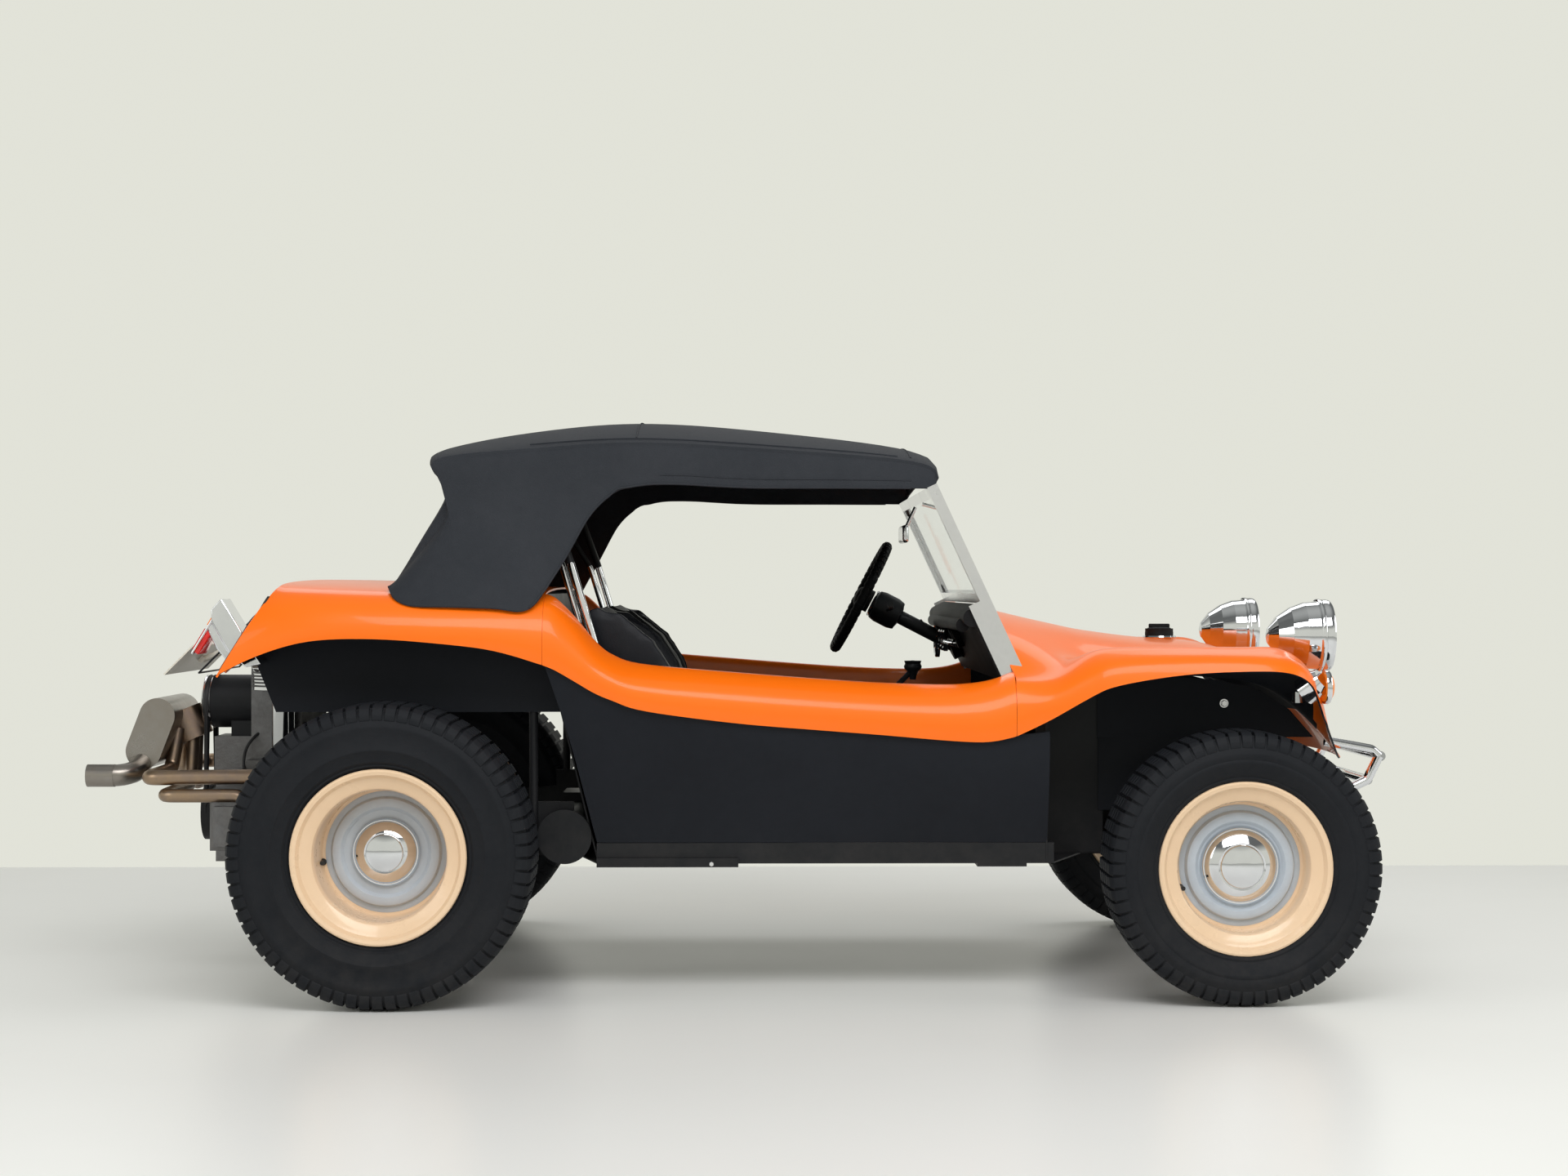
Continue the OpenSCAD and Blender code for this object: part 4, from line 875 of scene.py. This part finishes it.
class BUGGY_OT_seats(BuildOperator, bpy.types.Operator):
    """Fill, puff and pleat the two bucket seats"""
    bl_idname = "buggy.seats"
    bl_label = "Seats"

    def puff(self, obj, limit):
        """Blows the cover up against its stitching, by a cloth simulation held to a small movement."""
        start = [v.co.copy() for v in obj.data.vertices]
        pick(obj)
        cloth = obj.modifiers.new("Cloth", "CLOTH")
        cloth.settings.use_pressure = True
        cloth.settings.uniform_pressure_force = 4.0
        cloth.settings.effector_weights.gravity = 0.0
        cloth.point_cache.frame_start, cloth.point_cache.frame_end = 1, PUFF_FRAMES
        for step in range(1, PUFF_FRAMES + 1):
            bpy.context.scene.frame_set(step)
        bpy.ops.object.modifier_apply(modifier=cloth.name)
        for vertex, old in zip(obj.data.vertices, start):
            move = vertex.co - old
            if move.length > limit:
                vertex.co = old + move * (limit / move.length)
        bpy.context.scene.frame_set(1)

    def execute(self, context):
        s = sizes()
        low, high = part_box("seat_left")
        middle = (low.y + high.y) / 2
        half = (high.y - low.y) / 2
        seat = copy_of(NODES["seat_left"], "pleated_seat_left")
        seat.hide_render = seat.hide_viewport = False
        seat.data.materials.clear()
        open_mesh(seat)
        bpy.ops.mesh.customdata_custom_splitnormals_clear()
        bpy.ops.mesh.remove_doubles(threshold=FRAME_WELD)
        bpy.ops.object.mode_set(mode="OBJECT")
        add_modifier(seat, "REMESH", mode="VOXEL", voxel_size=0.0085)
        open_mesh(seat)
        bpy.ops.transform.shrink_fatten(value=-0.009)
        bpy.ops.object.mode_set(mode="OBJECT")
        add_modifier(seat, "SMOOTH", factor=0.6, iterations=9)
        self.puff(seat, PUFF_LIMIT)
        add_modifier(seat, "SUBSURF", levels=1, render_levels=1)
        mesh = seat.data
        normals = [v.normal.copy() for v in mesh.vertices]
        for vertex, n in zip(mesh.vertices, normals):
            p = vertex.co
            if (n.x > 0.35 or n.z > 0.45) and p.z > 0.45:
                across = p.y - middle
                if abs(across) < half - 0.052 or p.z < 0.60 and abs(across) < half - 0.02:
                    off = abs((across / s.pleat_pitch + 0.5) % 1 - 0.5) * s.pleat_pitch
                    vertex.co -= n * s.pleat_depth * math.exp(-(off / 0.0055) ** 2)
                    if 0.010 > abs(abs(across) - half + 0.052):
                        vertex.co -= n * 0.003
        mesh.update()
        seat.name = mesh.name = "pleated_seat_left"
        wear(seat, seat_vinyl())
        pick(seat)
        bpy.ops.object.shade_smooth_by_angle(angle=math.radians(70))
        other = copy_of(seat, "pleated_seat_right", MIRROR)
        for piece, side in ((seat, "left"), (other, "right")):
            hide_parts(f"seat_{side}")
            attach(piece, "chassis")
            y = middle if side == "left" else -middle
            rails = []
            for across in (-0.15, 0.15):
                rails.append(block((station(0.600), y + across - 0.014, 0.332),
                                   (station(0.960), y + across + 0.014, 0.352), 0.002))
                for x in (0.63, 0.93):
                    rails.append(bolt_head((station(x), y + across, 0.352), (0, 0, 1), s.bolt))
            settle(join(rails), f"seat_rails_{side}", "chassis", forged_iron(), 35)
        fresh()
        return {"FINISHED"}


class BUGGY_OT_screen(BuildOperator, bpy.types.Operator):
    """Trim the windscreen with its rubber and its inside mirror"""
    bl_idname = "buggy.screen"
    bl_label = "Windscreen trim"

    def execute(self, context):
        s = sizes()
        low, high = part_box("windscreen")
        rake = (high.x - low.x) / (high.z - low.z)

        def on_screen(y, z, lift=0.0):
            return Vector((high.x - (z - low.z) * rake + lift, y, z + lift * rake))

        y, z0, z1 = high.y, low.z, high.z
        cut = 0.03
        corners = [on_screen(-y + cut, z0), on_screen(-y, z0 + cut), on_screen(-y, z1 - cut),
                   on_screen(-y + cut, z1), on_screen(y - cut, z1), on_screen(y, z1 - cut),
                   on_screen(y, z0 + cut), on_screen(y - cut, z0)]
        rubber = tube(corners + [corners[0]], s.gasket, smooth=False, sides=3)
        settle(rubber, "screen_rubber", "chassis", gasket_rubber(), 45)
        stem = tube([on_screen(0.05, z1 - 0.012, -0.010), on_screen(0.05, z1 - 0.045, -0.050)], 0.010, sides=4)
        glass = on_screen(0.05, z1 - 0.060, -0.062)
        head = block(glass - Vector((0.012, 0.095, 0.024)), glass + Vector((0.006, 0.095, 0.024)), 0.009, 3)
        settle(join([stem, head]), "inside_mirror", "chassis", bright_aluminium(), 40)
        return {"FINISHED"}


class BUGGY_OT_cockpit(BuildOperator, bpy.types.Operator):
    """Fit the grooved steering wheel, the dash trim, the levers, their boots and the floor mats"""
    bl_idname = "buggy.cockpit"
    bl_label = "Cockpit"

    def execute(self, context):
        low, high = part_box("steering_wheel")
        tilt = math.radians(27.3)
        hub = Vector((station(1.177), 0.310, 0.965))
        axis = Vector((-math.cos(tilt), 0, math.sin(tilt)))
        across = Vector((0, 1, 0))
        up = axis.cross(across)
        outer = (high.y - low.y) / 2
        grip = 0.026
        wheel = []
        ring = []
        for i in range(14):
            a = math.tau * i / 14
            ring.append(hub + across * (outer - grip / 2 + grip / 2 * math.cos(a)) + axis * grip / 2 * math.sin(a))
        rim = lathe(ring, hub, axis, 96, closed=True)
        wheel.append(rim)
        notch = []
        for i in range(10):
            a = math.tau * i / 10
            notch.append(hub + across * (outer - grip / 2 + (grip / 2 + 0.0016) * math.cos(a))
                         + axis * (grip / 2 + 0.0016) * math.sin(a))
        collar = line(notch)
        bpy.ops.mesh.select_all(action="SELECT")
        bpy.ops.mesh.edge_face_add()
        bpy.ops.mesh.spin(steps=2, angle=math.radians(4.2), center=hub, axis=axis)
        bpy.ops.mesh.select_all(action="SELECT")
        bpy.ops.mesh.remove_doubles(threshold=WELD)
        bpy.ops.mesh.normals_make_consistent(inside=False)
        bpy.ops.mesh.spin(steps=47, dupli=True, angle=math.tau * 47 / 48, center=hub, axis=axis)
        bpy.ops.object.mode_set(mode="OBJECT")
        wheel.append(collar)
        boss = lathe([hub + across * r + axis * h for r, h in
                      ((0.0, 0.016), (0.016, 0.016), (0.024, 0.012), (0.030, 0.004), (0.032, -0.010), (0.032, -0.030),
                       (0.0, -0.030))], hub, axis, 48)
        wheel.append(boss)
        for k in range(3):
            a = math.tau * k / 3
            way = across * math.cos(a) + up * math.sin(a)
            start, end = hub + way * 0.022 - axis * 0.004, hub + way * (outer - grip * 0.6) - axis * 0.002
            side = way.cross(axis) * 0.012
            thick = axis * 0.004
            wheel.append(bar([start + side, start + side - thick, start - side - thick, start - side], end - start))
        grips = settle(join(wheel), "grooved_wheel", "steering_wheel", padded_vinyl(), 40)
        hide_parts("steering_wheel")
        # Dash: padded roll along its rear edge, two round dials and switches
        low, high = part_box("dash")
        roll = tube([(low.x + 0.006, y / 10, high.z - 0.052) for y in range(-5, 6)], 0.034, sides=6)
        settle(roll, "dash_roll", "chassis", padded_vinyl(), 60)
        bezels, faces = [], []
        for y, wide in ((0.31, 0.052), (0.17, 0.028), (0.09, 0.028), (0.01, 0.028)):
            face_x = low.x + 0.004
            at = Vector((face_x, y, low.z + 0.085))
            bezels.append(lathe([at + Vector((-h, 0, r)) for r, h in
                                 ((wide, -0.004), (wide, 0.006), (wide - 0.003, 0.009), (wide - 0.007, 0.006),
                                  (wide - 0.008, -0.002))], at, (1, 0, 0), 48))
            dial = ((wide - 0.006, 0.0), (wide - 0.012, 0.001), (0.004, 0.001), (0.003, 0.003), (0.0, 0.003))
            faces.append(lathe([at + Vector((-h, 0, r)) for r, h in dial], at, (1, 0, 0), 48))
            faces.append(tube([at + Vector((-0.002, 0, 0)), at + Vector((-0.002, wide * 0.4, wide * 0.4))], 0.0016,
                              sides=2))
        for i in range(4):
            at = Vector((low.x + 0.004, -0.10 - 0.05 * i, low.z + 0.085))
            switch = ((0.009, -0.004), (0.009, 0.003), (0.006, 0.005), (0.005, 0.016), (0.0, 0.017))
            bezels.append(lathe([at + Vector((-h, 0, r)) for r, h in switch], at, (1, 0, 0), 24))
        settle(join(bezels), "dash_bezels", "chassis", chrome(), 40)
        settle(join(faces), "dash_dials", "chassis", padded_vinyl(), 40)
        # Switch housing and stalks beside the column
        shaft = Vector((math.cos(tilt), 0, -math.sin(tilt)))
        at = hub + shaft * 0.080
        housing = lathe([at + shaft * h + across * r for r, h in
                         ((0.030, -0.042), (0.040, -0.036), (0.044, -0.020), (0.044, 0.020), (0.040, 0.036),
                          (0.024, 0.042))], at, shaft, 48)
        stalk = tube([at - across * 0.035, at - across * 0.09 + Vector((0.010, 0, 0.008)),
                      at - across * 0.140 + Vector((0.004, 0, 0.014))], 0.010, sides=4)
        knob = tube([at - across * 0.136 + Vector((0.004, 0, 0.013)),
                     at - across * 0.165 + Vector((0.002, 0, 0.018))], 0.016, sides=5)
        settle(join([housing, stalk, knob]), "switch_housing", "chassis", satin_black(), 40)
        ring = lathe([at - shaft * 0.042 + shaft * h + across * r for r, h in
                      ((0.030, 0.0), (0.036, -0.003), (0.039, 0.001), (0.036, 0.005))], at, shaft, 48, closed=True)
        settle(ring, "switch_ring", "chassis", chrome(), 40)
        # Gear knob and boots
        low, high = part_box("gear_lever")
        top = Vector((high.x - 0.023, 0, high.z))
        knob = lathe([top + Vector((r, 0, h)) for r, h in
                      ((0.0, 0.0015), (0.012, 0.0), (0.020, -0.006), (0.024, -0.015), (0.022, -0.022), (0.014, -0.028),
                       (0.010, -0.040), (0.008, -0.050))], top, (0, 0, 1), 40)
        settle(knob, "gear_knob", "chassis", satin_black(), 50)
        boots = []
        for x in (high.x - 0.020, low.x + 0.15):
            foot = Vector((x, 0, 0.452))
            rings = []
            for i in range(5):
                rings += [(0.042 - 0.006 * i, 0.009 * i), (0.045 - 0.006 * i, 0.009 * i + 0.004)]
            boots.append(lathe([foot + Vector((r, 0, h)) for r, h in rings], foot, (0, 0, 1), 40))
        settle(join(boots), "lever_boots", "chassis", gasket_rubber(), 40)
        mats = []
        for side in (1, -1):
            mats.append(block((station(0.98), side * 0.33 - 0.20, 0.3305),
                              (station(1.56), side * 0.33 + 0.20, 0.3365), 0.002))
        settle(join(mats), "floor_mats", "chassis", carpet(), 35)
        return {"FINISHED"}


class BUGGY_OT_lamps(BuildOperator, bpy.types.Operator):
    """Make the head lamp glasses, the turn lamps, the tail lamps and the filler cap"""
    bl_idname = "buggy.lamps"
    bl_label = "Lamps and filler"

    def execute(self, context):
        centre = Vector((station(2.302), 0.470, 0.872))
        face = [centre + Vector((h, 0, r)) for r, h in
                ((0.0795, -0.008), (0.0795, 0.000), (0.074, 0.0035), (0.050, 0.0065), (0.025, 0.0078), (0.0, 0.0082))]
        glass = lathe(face, centre, (1, 0, 0), 64)
        ribs = []
        for i in range(-6, 7):
            y = i * 0.0105
            h = math.sqrt(max(0.072 ** 2 - y * y, 0))
            ribs.append(tube([centre + Vector((0.0052 - abs(y) * 0.03, y, -h)),
                              centre + Vector((0.0085 - abs(y) * 0.03, y, 0)),
                              centre + Vector((0.0052 - abs(y) * 0.03, y, h))], 0.0026, sides=2))
        lens_left = settle(join([glass, *ribs]), "headlamp_glass_left", "chassis", headlamp_glass(), 35)
        bezel = lathe([centre + Vector((h, 0, r)) for r, h in
                       ((0.0895, -0.016), (0.0905, -0.008), (0.0900, 0.000), (0.0865, 0.005), (0.0815, 0.006),
                        (0.0790, 0.002), (0.0785, -0.006))], centre, (1, 0, 0), 72)
        bead = ((0.0902, -0.028), (0.0915, -0.026), (0.0915, -0.020), (0.0900, -0.018))
        seam = lathe([centre + Vector((h, 0, r)) for r, h in bead], centre, (1, 0, 0), 72)
        bezel = settle(join([bezel, seam]), "headlamp_bezel_left", "chassis", chrome(), 40)
        twin_on_chassis(lens_left, bezel)
        # Turn lamps
        low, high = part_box("front_turn_lamps")
        middle = Vector((high.x, high.y - (high.z - low.z) / 2, (low.z + high.z) / 2))
        r0 = (high.z - low.z) / 2
        dome = lathe([middle + Vector((h, 0, r)) for r, h in
                      ((r0 * 0.86, -0.012), (r0 * 0.86, -0.002), (r0 * 0.80, 0.004), (r0 * 0.62, 0.010),
                       (r0 * 0.3, 0.014), (0.0, 0.015))], middle, (1, 0, 0), 48)
        dome = settle(dome, "turn_lens_left", "chassis", lens("amber_lens", colours().amber), 40)
        hoop = lathe([middle + Vector((h, 0, r)) for r, h in
                      ((r0 * 0.87, -0.010), (r0 * 1.01, -0.010), (r0 * 1.02, -0.002), (r0 * 0.94, 0.003),
                       (r0 * 0.86, 0.001))], middle, (1, 0, 0), 48)
        hoop = settle(hoop, "turn_hoop_left", "chassis", chrome(), 40)
        twin_on_chassis(dome, hoop)
        # Filler cap with a finger grip
        low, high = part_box("filler_cap")
        top = Vector(((low.x + high.x) / 2, 0, high.z))
        cap = lathe([top + Vector((r, 0, h)) for r, h in
                     ((0.0, 0.004), (0.020, 0.004), (0.030, 0.002), (0.036, -0.004), (0.0375, -0.010),
                      (0.0375, -0.022))], top, (0, 0, 1), 48)
        grip = block(top + Vector((-0.028, -0.005, 0.001)), top + Vector((0.028, 0.005, 0.013)), 0.003, 2)
        settle(join([cap, grip]), "filler_grip", "chassis", padded_vinyl(), 40)
        hoop = lathe([Vector((top.x + r, 0, low.z + h)) for r, h in
                      ((0.038, 0.010), (0.043, 0.010), (0.045, 0.013), (0.043, 0.017), (0.038, 0.018))],
                     (top.x, 0, low.z), (0, 0, 1), 48, closed=True)
        settle(hoop, "filler_hoop", "chassis", chrome(), 40)
        # Tail lamps: amber over red on a slanted housing
        housing = panel_from(["tail_lamps"], "tail_housings", 0)
        add_modifier(housing, "BEVEL", width=0.010, segments=4, limit_method="ANGLE", angle_limit=math.radians(30))
        wear(housing, chrome())
        pick(housing)
        bpy.ops.object.shade_smooth_by_angle(angle=math.radians(35))
        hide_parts("tail_lamps")
        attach(housing, "chassis")
        low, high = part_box("tail_lamps")
        for side, tag in ((1, "left"), (-1, "right")):
            mid = Vector((low.x, side * (high.y - 0.055), (low.z + high.z) / 2))
            turn = Matrix.Translation(mid) @ Matrix.Rotation(TAIL_SLOPE, 4, "Y")
            for z0, z1, make, key in ((0.012, 0.052, lambda: lens("amber_lens", colours().amber), "amber"),
                                      (-0.056, 0.010, lambda: lens("red_lens", colours().red), "red")):
                pane = block((-0.008, -0.044, z0), (0.010, 0.044, z1), 0.004, 3)
                flutes = [block((-0.0105, -0.040 + 0.010 * i, z0 + 0.004),
                                (-0.007, -0.034 + 0.010 * i, z1 - 0.004), 0.001, 1)
                          for i in range(8)]
                pane = join([pane, *flutes])
                pane.data.transform(turn)
                settle(pane, f"tail_{key}_{tag}", "chassis", make(), 35)
            rim = tube([turn @ Vector((-0.004, y, z)) for y, z in
                        ((-0.047, -0.059), (0.047, -0.059), (0.047, 0.055), (-0.047, 0.055), (-0.047, -0.059))], 0.006,
                       smooth=False, sides=3)
            settle(rim, f"tail_hoop_{tag}", "chassis", chrome(), 40)
        return {"FINISHED"}


class BUGGY_OT_trim(BuildOperator, bpy.types.Operator):
    """Run the rubber strips, bolts and small fittings round the body"""
    bl_idname = "buggy.trim"
    bl_label = "Body trim"

    def execute(self, context):
        s = sizes()
        silver = []
        for side in (1, -1):
            silver.append(bolt_head((station(0.775), side * 0.616, 0.322), (0, side, 0), s.bolt * 0.9))
            silver.append(bolt_head((station(2.06), side * 0.394, 0.70), (0, side, 0), s.bolt * 1.2))
        settle(join(silver), "tub_bolts", "chassis", bright_aluminium(), 35)
        # Black plates inside the front arches: painted shade, which hides the far rims seen through the arches.
        panels = [block((station(1.742), side * 0.3915 - 0.002, 0.432),
                        (station(1.985), side * 0.3915 + 0.002, 0.62), 0.0012)
                  for side in (1, -1)]
        settle(join(panels), "arch_shade_plates", "chassis", tub_black(), 35)
        panel = bpy.data.objects["tail_panel"]
        strips = []
        for side in (1, -1):
            points = []
            for k in range(9):
                p = Vector((station(-0.266 - 0.139 * k / 8), side * 0.70, 0.978 - 0.182 * k / 8))
                points.append(panel.closest_point_on_mesh(p)[1])
            strips.append(tube(points, s.gasket, sides=4))
        settle(join(strips), "tail_gaskets", "chassis", gasket_rubber(), 45)
        low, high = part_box("number_plate")
        mid = (low + high) / 2
        turn = Matrix.Translation(mid) @ Matrix.Rotation(PLATE_SLOPE, 4, "Y")
        w, h = (high.y - low.y) / 2 - 0.004, (high.z - low.z) / 2 / math.cos(PLATE_SLOPE) - 0.004
        loop = [turn @ Vector((-0.0035, y, z)) for y, z in ((-w, -h), (w, -h), (w, h), (-w, h), (-w, -h))]
        settle(tube(loop, 0.005, smooth=False, sides=3), "plate_edge", "chassis", satin_black(), 40)
        screws = [bolt_head(turn @ Vector((-0.002, y, 0.0)), turn.to_3x3() @ Vector((-1, 0, 0)), 0.010, 0.003)
                  for y in (-w + 0.03, w - 0.03)]
        settle(join(screws), "plate_screws", "chassis", bright_aluminium(), 35)
        return {"FINISHED"}


class BUGGY_OT_drive(BuildOperator, bpy.types.Operator):
    """Dress the engine: pulleys, a belt, cooling fins, air cleaner lids and leads"""
    bl_idname = "buggy.drive"
    bl_label = "Engine and exhaust"

    def pulley(self, centre, radius, width):
        w = width / 2
        return lathe([centre + Vector((h, 0, r)) for r, h in
                      ((0.010, -w - 0.006), (0.016, -w - 0.006), (0.018, -w), (radius * 0.62, -w + 0.002),
                       (radius * 0.70, -w), (radius * 0.97, -w), (radius, -w + 0.002), (radius * 0.90, -0.001),
                       (radius * 0.90, 0.001), (radius, w - 0.002), (radius * 0.97, w), (0.012, w))],
                     centre, (1, 0, 0), 64)

    def belt(self, a, ra, b, rb, x):
        """A V belt round two pulleys in the plane of their grooves."""
        steps = 14
        turns = [math.pi * i / steps for i in range(steps + 1)]
        points = [(x, a.y + ra * math.cos(t), a.z - ra * math.sin(t)) for t in turns]
        points += [(x, b.y - rb * math.cos(t), b.z + rb * math.sin(t)) for t in turns]
        return tube(points + [points[0]], 0.011, smooth=False, sides=2, ends=False)

    def execute(self, context):
        x = station(-0.563)
        crank = Vector((x, 0, 0.400))
        top = Vector((x, 0, 0.690))
        wheels = [self.pulley(crank, 0.0745, 0.022), self.pulley(top, 0.0705, 0.022)]
        settle(join(wheels), "belt_pulleys", "chassis", bright_aluminium(), 32)
        settle(self.belt(crank, 0.0690, top, 0.0650, x), "fan_belt", "chassis", gasket_rubber(), 40)
        # Fins on the two banks of cylinders
        fins = []
        for side in (1, -1):
            for k in range(7):
                y = side * (0.205 + 0.0145 * k)
                fins.append(block((station(-0.505), y - 0.0022, 0.322),
                                  (station(-0.165), y + 0.0022, 0.478), 0.001, 1))
        settle(join(fins), "cylinder_fins", "chassis", cast_alloy(), 35)
        # Ribbed lids and gauze rings of the air cleaners
        lids, mesh_rings = [], []
        for side in (1, -1):
            c = Vector((station(-0.330), side * 0.230, 0))
            lids.append(lathe([Vector((c.x + r, c.y, z)) for r, z in
                               ((0.0, 0.801), (0.010, 0.801), (0.013, 0.7985), (0.060, 0.7985), (0.070, 0.7965),
                                (0.0785, 0.791), (0.0795, 0.786), (0.0785, 0.783))], c, (0, 0, 1), 56))
            for i in range(5):
                z = 0.740 + 0.0085 * i
                mesh_rings.append(lathe([Vector((c.x + r, c.y, z + h)) for r, h in
                                         ((0.0785, -0.0022), (0.0802, 0.0), (0.0785, 0.0022))],
                                        c, (0, 0, 1), 56, closed=True))
        settle(join(lids), "air_lids", "chassis", chrome(), 40)
        settle(join(mesh_rings), "air_gauze", "chassis", cast_alloy(), 40)
        # Ignition leads
        leads = []
        for side in (1, -1):
            for k in range(2):
                leads.append(tube([(station(-0.30), side * 0.03, 0.620 + 0.008 * k),
                                   (station(-0.30 - 0.05 * k), side * 0.12, 0.640),
                                   (station(-0.22 - 0.20 * k), side * 0.22, 0.590),
                                   (station(-0.22 - 0.20 * k), side * 0.300, 0.500)],
                                  0.008, sides=3))
        settle(join(leads), "spark_leads", "chassis", gasket_rubber(), 50)
        return {"FINISHED"}


class BUGGY_OT_stage(BuildOperator, bpy.types.Operator):
    """Set out the pale floor, the soft lights and the camera"""
    bl_idname = "buggy.stage"
    bl_label = "Stage"

    def execute(self, context):
        scene = context.scene
        fresh()
        wide, wall_y = 30, 2.26
        bpy.ops.mesh.primitive_plane_add(size=wide, location=(0, wall_y - wide / 2, 0))
        floor = context.object
        floor.name = "studio_floor"
        bpy.ops.object.transform_apply(location=True, rotation=True, scale=True)
        wear(floor, finish("studio_floor", colours().floor, 0.30, second=shade(colours().floor, 0.96), scale=0.6,
                           amount=0.4, spread=0.05, specular=0.4))
        scene.view_settings.view_transform = "Standard"
        world = scene.world or bpy.data.worlds.new("Studio")
        scene.world = world
        world.use_nodes = True
        tree = world.node_tree
        sky = tree.nodes["Background"]
        sky.inputs["Strength"].default_value = 1.0
        split = tree.nodes.new("ShaderNodeSeparateXYZ")
        tree.links.new(tree.nodes.new("ShaderNodeTexCoord").outputs["Generated"], split.inputs[0])
        ramp = tree.nodes.new("ShaderNodeValToRGB")
        tree.links.new(math_node(tree, "MULTIPLY_ADD", split.outputs["Z"], 0.5), ramp.inputs["Fac"])
        ramp.inputs["Fac"].links[0].from_node.inputs[2].default_value = 0.5
        wall, dim = (0.76, 0.765, 0.69, 1), (0.16, 0.165, 0.16, 1)
        ramp.color_ramp.elements[0].position, ramp.color_ramp.elements[0].color = 0.0, (0.70, 0.70, 0.66, 1)
        ramp.color_ramp.elements[1].position, ramp.color_ramp.elements[1].color = 1.0, (0.50, 0.51, 0.49, 1)
        for place, shade_here in ((0.45, wall), (0.66, wall), (0.76, dim), (0.88, dim)):
            ramp.color_ramp.elements.new(place).color = shade_here
        tree.links.new(ramp.outputs["Color"], sky.inputs["Color"])
        for name, place, aim, width, height, power in (
                ("key_light", (0.8, -4.4, 4.6), (0, 0, 0.5), 5.0, 2.4, 210),
                ("fill_light", (-5.0, -3.5, 3.0), (-0.4, 0, 0.6), 3.0, 3.0, 50),
                ("back_light", (0.5, 3.4, 4.4), (0, 0, 0.8), 6.0, 2.0, 70),
                ("front_light", (5.6, -1.0, 2.6), (1.0, 0, 0.6), 2.5, 2.5, 40)):
            data = bpy.data.lights.new(name, "AREA")
            data.shape, data.size, data.size_y, data.energy = "RECTANGLE", width, height, power
            lamp = bpy.data.objects.new(name, data)
            scene.collection.objects.link(lamp)
            lamp.location = place
            lamp.rotation_euler = (Vector(aim) - Vector(place)).to_track_quat("-Z", "Y").to_euler()
        data = bpy.data.cameras.new("studio_camera")
        data.lens, data.sensor_width = 58.2, 36.0
        camera = bpy.data.objects.new("studio_camera", data)
        scene.collection.objects.link(camera)
        camera.location = (0.042, -6.755, 0.990)
        camera.rotation_euler = (math.radians(90), 0, -0.0128)
        scene.camera = camera
        return {"FINISHED"}


# ---------------------------------------------------------------- panel and start

STEPS = (BUGGY_OT_finishes, BUGGY_OT_body, BUGGY_OT_tyres, BUGGY_OT_rims, BUGGY_OT_hood, BUGGY_OT_seats,
         BUGGY_OT_screen, BUGGY_OT_cockpit, BUGGY_OT_lamps, BUGGY_OT_trim, BUGGY_OT_drive, BUGGY_OT_stage)


class BUGGY_PT_panel(bpy.types.Panel):
    """Sizes, colours and building steps of the buggy"""
    bl_idname = "BUGGY_PT_panel"
    bl_label = "Dune buggy"
    bl_space_type = "VIEW_3D"
    bl_region_type = "UI"
    bl_category = "Buggy"

    def draw(self, context):
        for group in (sizes(), colours()):
            box = self.layout.box()
            for key in group.bl_rna.properties.keys():
                if key not in ("rna_type", "name"):
                    box.prop(group, key)
        for step in STEPS:
            self.layout.operator(step.bl_idname, text=step.bl_label)


CLASSES = (BuggySizes, BuggyColours, *STEPS, BUGGY_PT_panel)


def register():
    for c in CLASSES:
        bpy.utils.register_class(c)
    bpy.types.Scene.buggy_sizes = bpy.props.PointerProperty(type=BuggySizes)
    bpy.types.Scene.buggy_colours = bpy.props.PointerProperty(type=BuggyColours)


def unregister():
    del bpy.types.Scene.buggy_sizes
    del bpy.types.Scene.buggy_colours
    for c in reversed(CLASSES):
        bpy.utils.unregister_class(c)


def main():
    """Runs every building step in order."""
    register()
    for step in STEPS:
        area, name = step.bl_idname.split(".")
        getattr(getattr(bpy.ops, area), name)()


if __name__ == "__main__":
    main()
